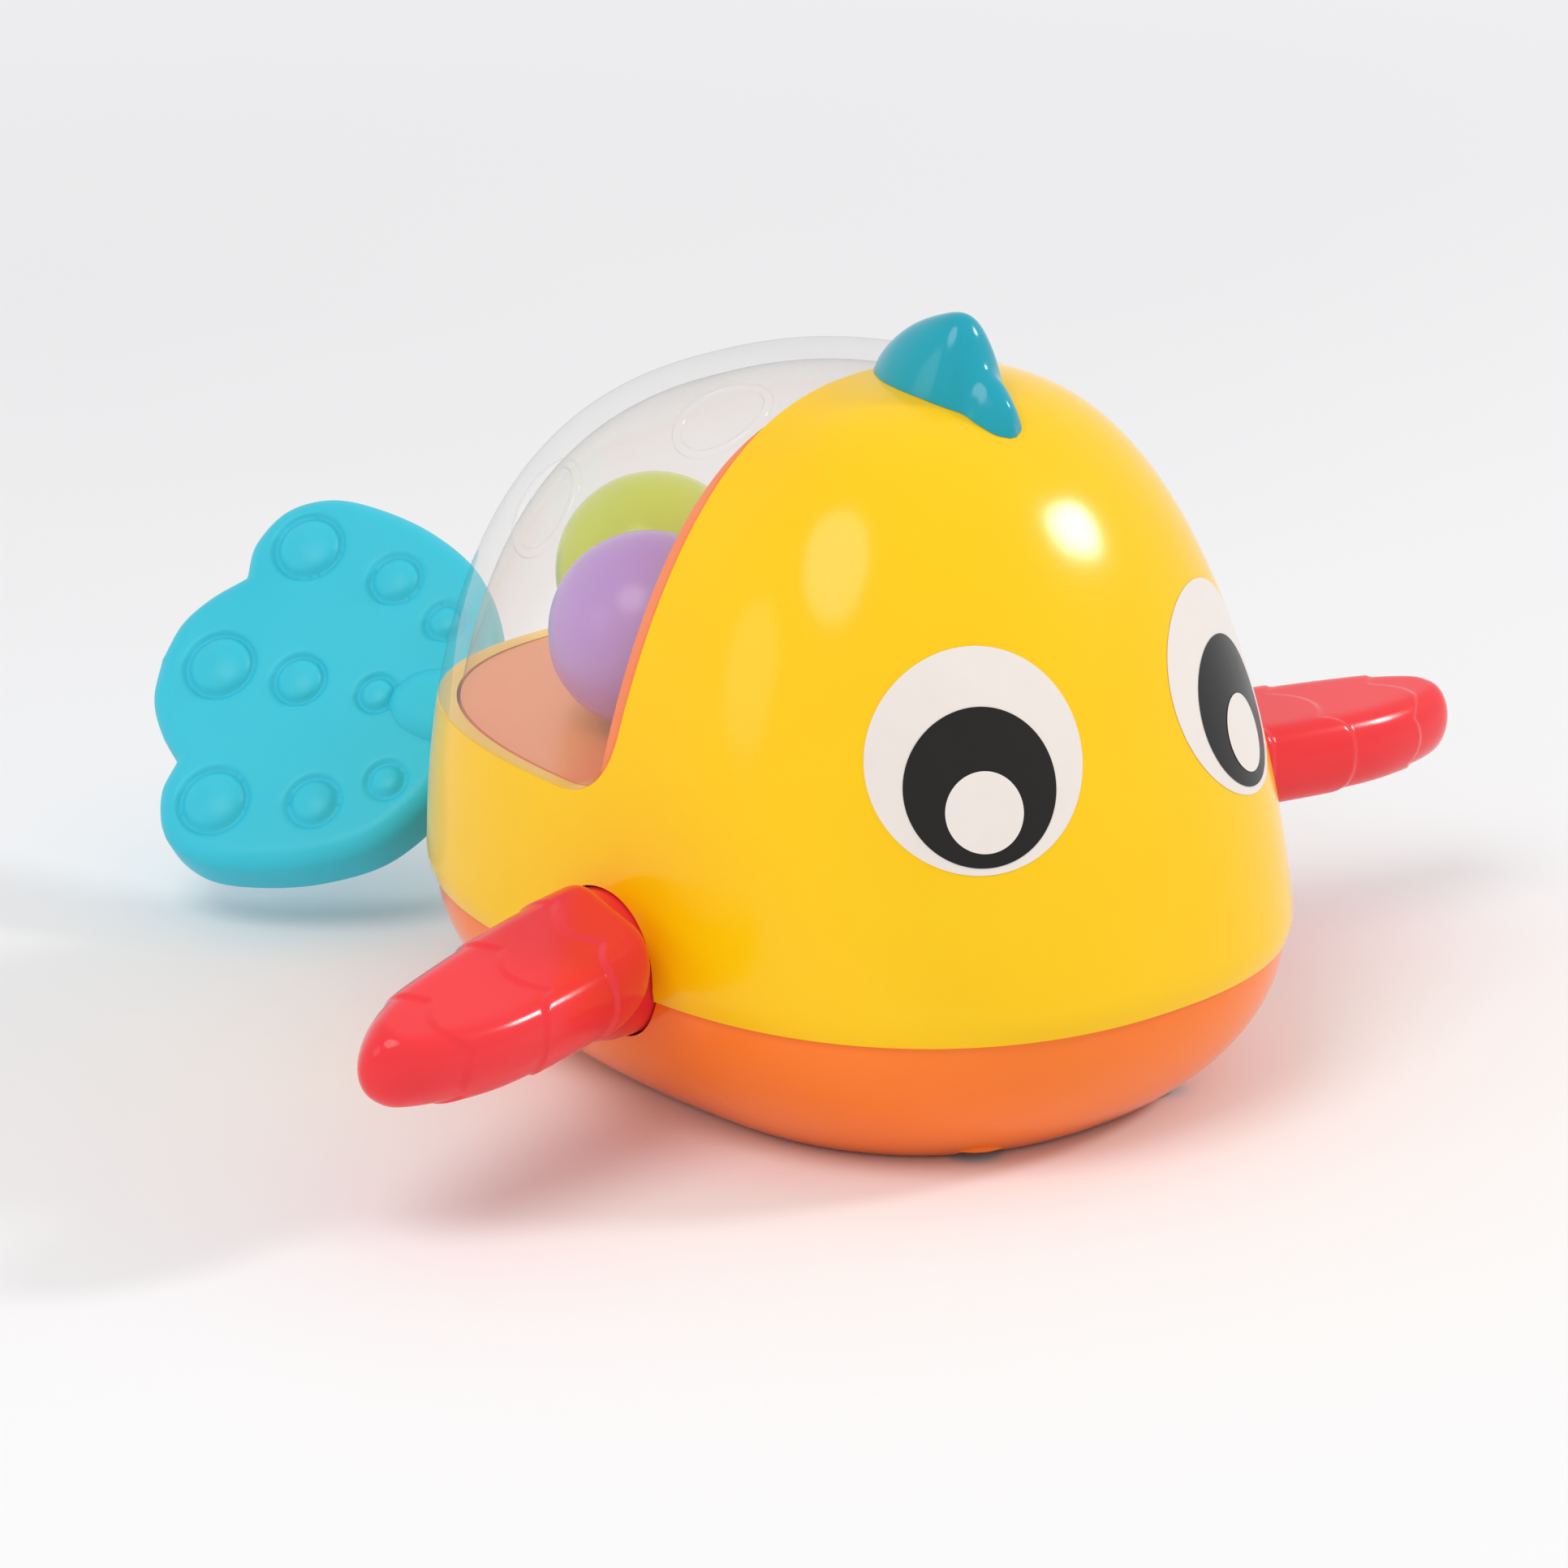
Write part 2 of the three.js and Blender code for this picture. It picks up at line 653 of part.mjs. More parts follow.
// Flat spiral spring beside the drum
function makeSpring() {
  const inner = spoolShaftRadius + sleeveWall + joinGap + springStrip / 2;
  const steps = springTurns * 14;
  const outside = [];
  const inside = [];
  for (let i = 0; i <= steps; i += 1) {
    const angle = 2 * Math.PI * springTurns * i / steps;
    const r = inner + springPitch * angle / (2 * Math.PI);
    const heading = new THREE.Vector2(Math.cos(angle), Math.sin(angle));
    outside.push(heading.clone().multiplyScalar(r + springStrip / 2));
    inside.push(heading.clone().multiplyScalar(r - springStrip / 2));
  }
  const geometry = new THREE.ExtrudeGeometry(new THREE.Shape([...outside, ...inside.reverse()]),
    { depth: springWidth, bevelEnabled: false });
  return solid(geometry.rotateX(Math.PI / 2).translate(spoolX, -gearStart - joinGap, spoolAxisZ));
}
add('mainspring', makeSpring(), 0x9aa0a6);

// Motor case: a tub on the hull floor, closed by a lid on its left side
const caseFloor = hullWall + joinGap;
const caseTop = seam + windowSill - trayWall - caseRoom;
const spoolReach = gearModule * (spoolTeeth / 2 + 1) + gearClear;
const caseRear = spoolX - spoolReach - caseWall;
const caseFront = axleX + gearModule * (pinionTeeth / 2 + 1) + caseRoom + caseWall;
const caseScrews = [
  [caseRear + postInset, caseTop - postInset],
  [caseFront - postInset, caseFloor + postInset],
];
const caseHoles = [
  rodY(axleRadius + joinGap, -2 * caseHalf, 2 * caseHalf, axleX, axisZ, 20),
  rodY(spoolShaftRadius + slideGap / 2, -2 * caseHalf, 2 * caseHalf, spoolX, spoolAxisZ, 16),
];

function makeCase() {
  const lidInner = caseHalf - caseWall;
  const tub = block(caseRear, caseFront, -caseHalf, lidInner - seamGap, caseFloor, caseTop);
  const room = block(caseRear + caseWall, caseFront - caseWall, -caseHalf + caseWall, caseHalf,
    caseFloor + caseWall, caseTop - caseWall);
  const postStart = -caseHalf + caseWall / 2;
  const posts = caseScrews.map(([x, z]) => rodY(postRadius, postStart, lidInner - seamGap, x, z, 14));
  const holes = caseScrews.map(([x, z]) => rodY(caseScrewRadius + slideGap, 0, caseHalf, x, z, 12));
  const cordSlot = rodX(cordRadius + 1, 2 * caseRear, caseRear + 2 * caseWall, 0, seam + cordHeight);
  return cut(join(cut(tub, room), ...posts), ...caseHoles, ...holes, cordSlot);
}
add('motor_case', makeCase(), 0xe9ebec);

function makeLid() {
  const plate = block(caseRear, caseFront, caseHalf - caseWall, caseHalf, caseFloor, caseTop);
  const holes = caseScrews.map(([x, z]) => rodY(caseScrewRadius + slideGap, 0, 2 * caseHalf, x, z, 12));
  return cut(plate, ...caseHoles, ...holes);
}
add('motor_lid', makeLid(), 0xdfe2e4);

caseScrews.forEach(([x, z], i) => {
  const shank = rodY(caseScrewRadius, caseScrewStart, caseHalf + caseScrewCap / 2, x, z, 8);
  const head = rodY(caseScrewHead, caseHalf + seamGap, caseHalf + caseScrewCap, x, z, 8);
  add(`motor_screw_${i + 1}`, join(shank, head), 0xb9bdc2);
});

for (const [side, word] of [[-1, 'right'], [1, 'left']]) {
  const near = caseHalf + joinGap;
  const sleeve = rodY(axleRadius + axleBushWall, near, near + axleBushLength, axleX, axisZ, 20);
  const bush = cut(sleeve, rodY(axleRadius + slideGap, 0, 2 * caseHalf, axleX, axisZ, 20));
  add(`axle_bush_${word}`, side < 0 ? bush.mirror([0, 1, 0]) : bush, 0xf2f2ee);
}

screwSpots.forEach(([x, y], i) => {
  const headFoot = screwSeat - screwHeadThick;
  const shank = rodZ(screwRadius, headFoot, seam + screwBite, x, y, 8);
  const head = rodZ(screwHead, headFoot, screwSeat - joinGap, x, y, 10);
  add(`hull_screw_${i + 1}`, join(shank, head), 0xb9bdc2);
});

// Cord bush in the rear wall
function makeBush() {
  const z = seam + cordHeight;
  const pipe = rodX(bushRadius, bushMouth + collarThick / 3, bushMouth + bushLength, 0, z);
  const collar = rodX(bushFlange, bushMouth, bushMouth + collarThick, 0, z);
  const bore = rodX(cordRadius + cordPlay, 2 * bushMouth, 0, 0, z, 12);
  return cut(join(pipe, collar), bore, cut(bodySolid(0), bushHole));
}
add('cord_bush', makeBush(), 0xf2f2ee);

// Tail frame: span runs out along the tail, rise lies in its plate
const yaw = THREE.MathUtils.degToRad(tailYaw);
const pitch = THREE.MathUtils.degToRad(tailPitch);
const roll = THREE.MathUtils.degToRad(tailRoll);
const outward = new THREE.Vector3(-Math.cos(yaw) * Math.cos(pitch), -Math.sin(yaw) * Math.cos(pitch),
  -Math.sin(pitch));
const level = new THREE.Vector3().crossVectors(outward, new THREE.Vector3(0, 0, 1)).normalize();
const upright = new THREE.Vector3().crossVectors(level, outward);
const rise = upright.clone().multiplyScalar(Math.cos(roll)).addScaledVector(level, Math.sin(roll));
const facing = new THREE.Vector3().crossVectors(outward, rise);
const pivot = new THREE.Vector3(bushMouth - joinGap, 0, seam + cordHeight);
const tailPlace = new THREE.Matrix4().makeBasis(outward, rise, facing).setPosition(pivot);

function onTail(geometry) {
  return solid(geometry.clone().applyMatrix4(tailPlace));
}

// A turned body about the tail's own axis, from points of place and radius
function turned(points, sides = 12) {
  const profile = points.map(([s, r]) => new THREE.Vector2(r, s));
  return onTail(new THREE.LatheGeometry(profile, sides).rotateZ(-Math.PI / 2));
}

function cordSolid() {
  const path = new THREE.CurvePath();
  const start = new THREE.Vector3(spoolX - cordStart, 0, seam + cordHeight);
  const before = pivot.clone().setX(pivot.x + cordBend);
  const after = pivot.clone().addScaledVector(outward, cordBend);
  const end = pivot.clone().addScaledVector(outward, knotAt - knotRadius + cordTuck);
  path.add(new THREE.LineCurve3(start, before));
  path.add(new THREE.QuadraticBezierCurve3(before, pivot, after));
  path.add(new THREE.LineCurve3(after, end));
  const round = new THREE.Shape();
  round.absarc(0, 0, cordRadius, 0, 2 * Math.PI);
  const settings = { steps: 16, curveSegments: 3, bevelEnabled: false, extrudePath: path };
  return solid(new THREE.ExtrudeGeometry(round, settings));
}

const knotCentre = knotAt + knotGap + seamGap;
const anchorEnd = knotCentre + knotRadius + collarLength;
const collarStart = tailStart + anchorFoot;
const collarStop = collarStart + collarLength;
const anchorProfile = (grow) => [[tailStart - grow, 0], [tailStart - grow, anchorRadius + grow],
  [collarStart - grow, anchorRadius + grow], [collarStart - grow, anchorCollar + grow],
  [collarStop + grow, anchorCollar + grow], [collarStop + grow, anchorRadius + grow],
  [anchorEnd + grow, anchorRadius + grow], [anchorEnd + grow, 0]];

add('pull_cord', cordSolid(), 0xf4f4f2);
add('cord_knot', onTail(new THREE.SphereGeometry(knotRadius, 10, 6).translate(knotCentre, 0, 0)), 0xf4f4f2);

const knotRoom = onTail(new THREE.SphereGeometry(knotRadius + knotGap, 10, 6).translate(knotCentre, 0, 0));
const cordBore = cordRadius + cordPlay - seamGap;
const cordRoom = turned([[-1, 0], [-1, cordBore], [knotCentre, cordBore], [knotCentre, 0]], 12);
add('tail_anchor', cut(turned(anchorProfile(0)), knotRoom, cordRoom), 0xe9ebec);

// Tail plate: three lobes, the same above and below its middle
const lobeHalf = [[47.6, 0], [46.8, 5], [44.4, 9], [41, 12.4], [41.4, 17], [39, 22], [33.9, 24.6],
  [27.4, 24.4], [19.9, 22.4], [12.9, 18.4], [8.4, 12], [6.8, 6]];
const bumps = [[39.3, 0, 3.6], [29, 0, 2.6], [19, 0, 1.8],
  [33.9, 17.1, 3.6], [21.8, 14.9, 2.6], [14, 10.6, 1.8]];

function tailOutline() {
  const points = lobeHalf.map(([s, t]) => new THREE.Vector2(s, t));
  const notch = 3;
  const upper = new THREE.SplineCurve(points.slice(0, notch + 1)).getPoints(5);
  const lobe = new THREE.SplineCurve(points.slice(notch)).getPoints(13).slice(1);
  const half = [...upper, ...lobe];
  const mirror = half.slice(1).reverse().map((p) => new THREE.Vector2(p.x, -p.y));
  return [...half, ...mirror];
}

function makeTail() {
  const place = (s, t, height) => new THREE.Vector3(s, t, height).applyMatrix4(tailPlace).toArray();
  let plate = roundPlate(tailOutline(), tailThick, tailEdge, place);
  const neckTip = anchorEnd + neckEnd;
  const neck = turned([[tailStart, 0], [tailStart, neckRadius - 1.5], [tailStart + collarLength, neckRadius],
    [anchorEnd + collarLength, neckRadius - 1], [neckTip, neckRadius / 3], [neckTip, 0]]);
  const face = tailThick / 2;
  const mouth = [[-1, 0], [-1, mouthRadius], [tailStart + 1, mouthRadius], [tailStart + 1, 0]];
  for (const [s, t, r] of bumps) {
    for (const rowSide of t === 0 ? [1] : [1, -1]) {
      for (const front of [1, -1]) {
        const rim = r + grooveWidth;
        const hollow = new THREE.CylinderGeometry(rim, rim - grooveWidth / 2, 2 * grooveDepth, 8);
        const dome = new THREE.SphereGeometry(r * 1.15, 8, 4).rotateX(Math.PI / 2);
        const z = front * face;
        plate = plate.subtract(onTail(hollow.rotateX(Math.PI / 2).translate(s, rowSide * t, z)));
        const sunk = z - front * grooveDepth * 1.2;
        plate = plate.add(onTail(dome.scale(1, 1, 0.45).translate(s, rowSide * t, sunk)));
      }
    }
  }
  return cut(join(plate, neck), turned(anchorProfile(slideGap)), turned(mouth));
}
add('tail', makeTail(), 0x4fcbe0);

export default part;
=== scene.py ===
# %% [markdown]
# # A swimming fish bath toy
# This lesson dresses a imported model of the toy. The model gives every piece its place and its
# motion; here each visible piece gets a smooth surface and a finish made from nodes.

# %% Load the frame
import math
import bpy
import bmesh
import numpy as np
from mathutils import Matrix, Vector


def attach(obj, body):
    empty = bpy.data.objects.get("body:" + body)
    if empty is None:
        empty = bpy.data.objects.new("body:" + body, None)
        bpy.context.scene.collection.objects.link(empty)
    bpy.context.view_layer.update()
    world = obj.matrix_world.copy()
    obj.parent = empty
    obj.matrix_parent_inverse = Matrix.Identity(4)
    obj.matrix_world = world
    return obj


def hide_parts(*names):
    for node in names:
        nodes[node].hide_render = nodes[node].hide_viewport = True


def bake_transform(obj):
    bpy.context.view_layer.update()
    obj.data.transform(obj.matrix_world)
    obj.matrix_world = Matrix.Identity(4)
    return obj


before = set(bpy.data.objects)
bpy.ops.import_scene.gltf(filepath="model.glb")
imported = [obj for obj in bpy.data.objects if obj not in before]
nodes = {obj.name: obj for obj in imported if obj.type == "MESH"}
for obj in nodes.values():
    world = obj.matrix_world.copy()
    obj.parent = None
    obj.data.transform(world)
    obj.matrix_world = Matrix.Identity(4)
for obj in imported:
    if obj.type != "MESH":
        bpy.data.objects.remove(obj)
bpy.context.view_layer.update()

MM = 0.001
print("frame holds", len(nodes), "nodes")

# %% [markdown]
# ## Two helpers for finishes
# Colours are written as sRGB hex because that is what a colour picker shows, while Blender works
# in linear light. One function turns hex to linear, and one adds a node with its settings.

# %% Colour and node helpers
def linear(hex_code):
    """An sRGB hex colour as linear RGBA."""
    channels = [int(hex_code[i:i + 2], 16) / 255 for i in (0, 2, 4)]
    straight = [c / 12.92 if c <= 0.04045 else ((c + 0.055) / 1.055) ** 2.4 for c in channels]
    return (*straight, 1.0)


def put(tree, kind, settings=None, values=None, links=None):
    """Adds one node, sets its properties and socket values, and links sockets into it."""
    made = tree.nodes.new(kind)
    for key, value in (settings or {}).items():
        setattr(made, key, value)
    for key, value in (values or {}).items():
        made.inputs[key].default_value = value
    for key, socket in (links or {}).items():
        tree.links.new(socket, made.inputs[key])
    return made


def new_finish(name):
    """An empty node material; each finish adds its own output."""
    material = bpy.data.materials.new(name)
    material.use_nodes = True
    material.node_tree.nodes.clear()
    return material, material.node_tree


print("yellow FFC900 in linear light:", [round(c, 3) for c in linear("FFC900")])

# %% [markdown]
# ## The camera
# The viewing angle came from fitting the toy's outline to the photograph: the camera stands in
# front of the right eye, a little above, 800 mm away. The lens looks at a point in the body, and
# the small shift puts that point on the pixel where the photograph has it.

# %% Camera
PHOTO_SIDE = 1932
PIXELS_PER_MM = 11.268
AIM_ACROSS = 1127
AIM_DOWN = 810
CAMERA_TURN = math.radians(44.705)
CAMERA_RISE = math.radians(17.762)
CAMERA_ROLL = math.radians(0.755)
CAMERA_AWAY = 0.8
LOOK_AT = Vector((0, 0, 0.047))
VIEW_WIDTH = PHOTO_SIDE / PIXELS_PER_MM * MM
SENSOR = 36.0

toward = Vector((math.cos(CAMERA_TURN) * math.cos(CAMERA_RISE),
                 -math.sin(CAMERA_TURN) * math.cos(CAMERA_RISE),
                 math.sin(CAMERA_RISE)))
level_right = Vector((math.sin(CAMERA_TURN), math.cos(CAMERA_TURN), 0))
level_up = toward.cross(level_right)
right = math.cos(CAMERA_ROLL) * level_right + math.sin(CAMERA_ROLL) * level_up
up = math.cos(CAMERA_ROLL) * level_up - math.sin(CAMERA_ROLL) * level_right
lens = bpy.data.cameras.new("photo_lens")
lens.sensor_width = SENSOR
lens.lens = SENSOR * CAMERA_AWAY / VIEW_WIDTH
lens.shift_x = (PHOTO_SIDE / 2 - AIM_ACROSS) / PHOTO_SIDE
lens.shift_y = (AIM_DOWN - PHOTO_SIDE / 2) / PHOTO_SIDE
lens.clip_start = 0.01
lens.clip_end = 20
camera = bpy.data.objects.new("photo_camera", lens)
bpy.context.collection.objects.link(camera)
turn = Matrix((right, up, toward)).transposed().to_4x4()
camera.matrix_world = Matrix.Translation(LOOK_AT + CAMERA_AWAY * toward) @ turn
bpy.context.scene.camera = camera
print("lens", round(lens.lens, 1), "mm, camera at", [round(v, 3) for v in camera.location])

# %% [markdown]
# ## Floor and light
# A pale floor that runs past the frame gives an even background and keeps the shadow. Far from
# the toy the board fades to a plain pale tone for what is seen, which adds no light to the toy.
# Gloss is only seen through what it reflects, so three soft boxes stand where the highlights on
# the forehead, the cheek and the low flank ask for them, and an even white sky fills the rest.

# %% Floor
FLOOR_REACH = 6.0
FLOOR_DROP = 0.0002
FADE_START = 0.2
FADE_END = 0.75
PALE = "F3F3F5"


def seen_rays(tree):
    """One for rays that show a surface: direct, in a reflection or through something clear."""
    ray = put(tree, "ShaderNodeLightPath")
    direct = put(tree, "ShaderNodeMath", {"operation": "MAXIMUM"},
                 links={0: ray.outputs["Is Camera Ray"], 1: ray.outputs["Is Transmission Ray"]})
    seen = put(tree, "ShaderNodeMath", {"operation": "MAXIMUM"},
               links={0: direct.outputs[0], 1: ray.outputs["Is Glossy Ray"]})
    return seen.outputs[0]


def floor_card():
    """White card: matt paper board, so it shows soft shadows and no gloss."""
    material, tree = new_finish("matt white paper board")
    place = put(tree, "ShaderNodeTexCoord")
    fibre = put(tree, "ShaderNodeTexNoise", values={"Scale": 8.0, "Detail": 2.0},
                links={"Vector": place.outputs["Object"]})
    tint = put(tree, "ShaderNodeMix", {"data_type": "RGBA"},
               {"A": linear("F4F4F6"), "B": linear("F7F7F8")}, {"Factor": fibre.outputs["Fac"]})
    board = put(tree, "ShaderNodeBsdfDiffuse", links={"Color": tint.outputs["Result"]})
    away = put(tree, "ShaderNodeVectorMath", {"operation": "LENGTH"}, links={0: place.outputs["Object"]})
    fade = put(tree, "ShaderNodeMapRange", {"interpolation_type": "SMOOTHSTEP"},
               {"From Min": FADE_START, "From Max": FADE_END}, {"Value": away.outputs["Value"]})
    share = put(tree, "ShaderNodeMath", {"operation": "MULTIPLY"},
                links={0: fade.outputs["Result"], 1: seen_rays(tree)})
    pale = put(tree, "ShaderNodeEmission", values={"Color": linear(PALE), "Strength": 1.0})
    whole = put(tree, "ShaderNodeMixShader",
                links={0: share.outputs[0], 1: board.outputs["BSDF"], 2: pale.outputs["Emission"]})
    put(tree, "ShaderNodeOutputMaterial", links={"Surface": whole.outputs[0]})
    return material


floor_mesh = bpy.data.meshes.new("floor")
corners = [(-FLOOR_REACH, -FLOOR_REACH, 0), (FLOOR_REACH, -FLOOR_REACH, 0),
           (FLOOR_REACH, FLOOR_REACH, 0), (-FLOOR_REACH, FLOOR_REACH, 0)]
floor_mesh.from_pydata(corners, [], [(0, 1, 2, 3)])
floor = bpy.data.objects.new("floor", floor_mesh)
floor.location.z = -FLOOR_DROP
bpy.context.collection.objects.link(floor)
floor_mesh.materials.append(floor_card())
print("floor", 2 * FLOOR_REACH, "m wide")

# %% Soft boxes and sky
# Each box: its heading from the toy, its distance and width in metres, and its power in watts.
SOFT_BOXES = {
    "forehead_box": ((0.48, 0.70, 0.53), 0.95, 0.17, 2.6),
    "cheek_box": ((0.16, -0.60, 0.78), 0.9, 0.5, 2.5),
    "flank_box": ((-0.30, -0.92, 0.34), 1.1, 0.45, 0.6),
}
SKY = 0.64
for name, (heading, away, width, power) in SOFT_BOXES.items():
    lamp = bpy.data.lights.new(name, "AREA")
    lamp.shape = "DISK"
    lamp.size = width
    lamp.energy = power
    box = bpy.data.objects.new(name, lamp)
    box.location = LOOK_AT + away * Vector(heading).normalized()
    box.rotation_euler = Vector(heading).to_track_quat("Z", "Y").to_euler()
    bpy.context.collection.objects.link(box)

world = bpy.data.worlds.new("studio_sky")
bpy.context.scene.world = world
world.use_nodes = True
sky = world.node_tree
sky.nodes.clear()
fill = put(sky, "ShaderNodeBackground", values={"Color": linear("FFFFFF"), "Strength": SKY})
white = put(sky, "ShaderNodeBackground", values={"Color": linear(PALE), "Strength": 1.0})
both = put(sky, "ShaderNodeMixShader",
           links={0: seen_rays(sky), 1: fill.outputs[0], 2: white.outputs[0]})
put(sky, "ShaderNodeOutputWorld", links={"Surface": both.outputs[0]})
bpy.context.scene.view_settings.view_transform = "Standard"
print("soft boxes:", len(SOFT_BOXES))

# %% [markdown]
# ## Moulded plastic
# Most of the toy is ABS, injection moulded in polished steel tools. That gives a hard, even
# gloss with a very slight orange-peel swell, hardly any colour variation, and a faint haze where
# hands have rubbed it. The swell is about 6 mm from crest to crest and the haze about 15 mm. The
# shine is set a little under the plastic's own, because a room reflects less than this white sky.

# %% Moulded plastic finish
def moulded_plastic(name, colour, shade, roughness, swell=0.02, soft=0.0, ior=1.54, shine=0.3):
    """Injection-moulded plastic: two near tints, hazy gloss and a faint swell of the surface."""
    material, tree = new_finish(name)
    place = put(tree, "ShaderNodeTexCoord")
    haze = put(tree, "ShaderNodeTexNoise", values={"Scale": 1 / (15 * MM), "Detail": 3.0},
               links={"Vector": place.outputs["Object"]})
    peel = put(tree, "ShaderNodeTexNoise", values={"Scale": 1 / (6 * MM), "Detail": 1.0},
               links={"Vector": place.outputs["Object"]})
    tint = put(tree, "ShaderNodeMix", {"data_type": "RGBA"},
               {"A": linear(colour), "B": linear(shade)}, {"Factor": haze.outputs["Fac"]})
    gloss = put(tree, "ShaderNodeMapRange",
                values={"To Min": roughness * 0.8, "To Max": roughness * 1.25},
                links={"Value": haze.outputs["Fac"]})
    skin_swell = put(tree, "ShaderNodeBump", values={"Strength": swell, "Distance": 0.2 * MM},
                     links={"Height": peel.outputs["Fac"]})
    body = put(tree, "ShaderNodeBsdfPrincipled",
               values={"IOR": ior, "Specular IOR Level": shine, "Subsurface Weight": soft,
                       "Subsurface Scale": 2 * MM, "Subsurface Radius": (1.0, 0.8, 0.6)},
               links={"Base Color": tint.outputs["Result"], "Roughness": gloss.outputs["Result"],
                      "Normal": skin_swell.outputs["Normal"]})
    put(tree, "ShaderNodeOutputMaterial", links={"Surface": body.outputs["BSDF"]})
    return material


yellow_abs = moulded_plastic("ABS moulded yellow, polished", "FFC900", "FFCF0A", 0.15, shine=0.25)
orange_abs = moulded_plastic("ABS moulded orange, polished", "FF7A1E", "FF842A", 0.14)
print("finishes so far:", [m.name for m in (yellow_abs, orange_abs)])

# %% [markdown]
# ## Meshes from rings
# Nearly every surface here is a stack of closed rings: the body at rising heights, a fin at
# growing spans. One function skins such a stack, closing both ends with a fan.

# %% Ring skin helper
WELD = 1e-7


def make_object(name, points, faces, finish, sharp=35):
    """A mesh object from points in millimetres, smooth except at edges over the sharp angle."""
    mesh = bpy.data.meshes.new(name)
    mesh.from_pydata((np.asarray(points) * MM).tolist(), [], faces)
    mesh.update()
    tidy = bmesh.new()
    tidy.from_mesh(mesh)
    bmesh.ops.remove_doubles(tidy, verts=tidy.verts, dist=WELD)
    bmesh.ops.recalc_face_normals(tidy, faces=tidy.faces)
    tidy.to_mesh(mesh)
    tidy.free()
    mesh.shade_smooth()
    mesh.set_sharp_from_angle(angle=math.radians(sharp))
    made = bpy.data.objects.new(name, mesh)
    bpy.context.collection.objects.link(made)
    mesh.materials.append(finish)
    return made


def skin_faces(levels, count, start=0, caps=True):
    """Quads between rings of the same count, and a fan at each end when caps is set."""
    faces = []
    for level in range(levels - 1):
        for i in range(count):
            a = start + level * count + i
            b = start + level * count + (i + 1) % count
            faces.append((a, b, b + count, a + count))
    if caps:
        faces.append(tuple(range(start, start + count))[::-1])
        last = start + (levels - 1) * count
        faces.append(tuple(range(last, last + count)))
    return faces


def skin(name, rings, finish, sharp=35):
    """A closed skin through rings of points in millimetres."""
    points = np.concatenate(rings)
    return make_object(name, points, skin_faces(len(rings), len(rings[0])), finish, sharp)


def through(points, samples):
    """A smooth curve through points, each an array row, by Catmull-Rom."""
    points = np.asarray(points, float)
    padded = np.concatenate([[2 * points[0] - points[1]], points, [2 * points[-1] - points[-2]]])
    curve = []
    for i in range(len(points) - 1):
        p0, p1, p2, p3 = padded[i:i + 4]
        for t in np.linspace(0, 1, samples, endpoint=False):
            curve.append(0.5 * (2 * p1 + (p2 - p0) * t + (2 * p0 - 5 * p1 + 4 * p2 - p3) * t ** 2
                                + (3 * p1 - p0 - 3 * p2 + p3) * t ** 3))
    curve.append(points[-1])
    return np.array(curve)


def carve(target, tools, how="DIFFERENCE", sharp=35):
    """Cuts, joins or trims a mesh with helper solids, which are then removed."""
    for tool in tools:
        change = target.modifiers.new("carve", "BOOLEAN")
        change.object = tool
        change.operation = how
        change.solver = "EXACT"
    graph = bpy.context.evaluated_depsgraph_get()
    shaped = bpy.data.meshes.new_from_object(target.evaluated_get(graph))
    target.modifiers.clear()
    target.data = shaped
    shaped.shade_smooth()
    shaped.set_sharp_from_angle(angle=math.radians(sharp))
    for tool in tools:
        bpy.data.objects.remove(tool)
    return target


def dress(piece, body, slot, *replaced):
    """Says which body the piece rides on and the nodes it stands for; its material slot is not used."""
    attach(piece, body)
    if replaced:
        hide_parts(*replaced)
    print(piece.name, len(piece.data.vertices), "points on", body)


# %% [markdown]
# ## The body's form
# The body is an egg that is longer behind than in front. Its plan is a rounded oblong at every
# height, and its nose, rear and sides each close towards the top along their own curve. Writing
# it as a formula lets the shell, the dome, the tray and the eyes share one exact surface.

# %% Body formula
SEAM = 17.0
SHELL_HEIGHT = 62.2
NOSE_LENGTH = 41.0
REAR_LENGTH = 60.0
HALF_WIDTH = 40.0
GIRTH_HEIGHT = 2.2
GIRTH_TUCK = 0.013
PLAN_FRONT = 2.26
PLAN_REAR = 2.59
NOSE_POWER = (1.1, 2.5)
REAR_POWER = (2.6, 2.88)
SIDE_POWER = (1.8, 2.82)
AROUND = 256
TOP_CROWDING = 2.4


def taper(rise, powers):
    """How far a side has closed at a share of the height."""
    return np.clip(1 - rise ** powers[0], 0, None) ** (1 / powers[1])


def body_ring(height, inset=0.0, count=AROUND):
    """The body's outline at a height above the seam, drawn in by an inset."""
    top = SHELL_HEIGHT - inset
    rise = np.clip((height - GIRTH_HEIGHT) / (top - GIRTH_HEIGHT), 0, 1)
    below = min(1, max(0, (GIRTH_HEIGHT - height) / GIRTH_HEIGHT))
    tuck = 1 - GIRTH_TUCK * below ** 2
    angle = np.linspace(0, 2 * np.pi, count, endpoint=False)
    c, s = np.cos(angle), np.sin(angle)
    power = 2 / np.where(c >= 0, PLAN_FRONT, PLAN_REAR)
    front = (NOSE_LENGTH - inset) * taper(rise, NOSE_POWER)
    rear = (REAR_LENGTH - inset) * taper(rise, REAR_POWER)
    side = (HALF_WIDTH - inset) * taper(rise, SIDE_POWER)
    x = tuck * np.where(c >= 0, front, rear) * np.sign(c) * np.abs(c) ** power
    y = tuck * side * np.sign(s) * np.abs(s) ** power
    return np.stack([x, y, np.full(count, SEAM + height)], axis=1)


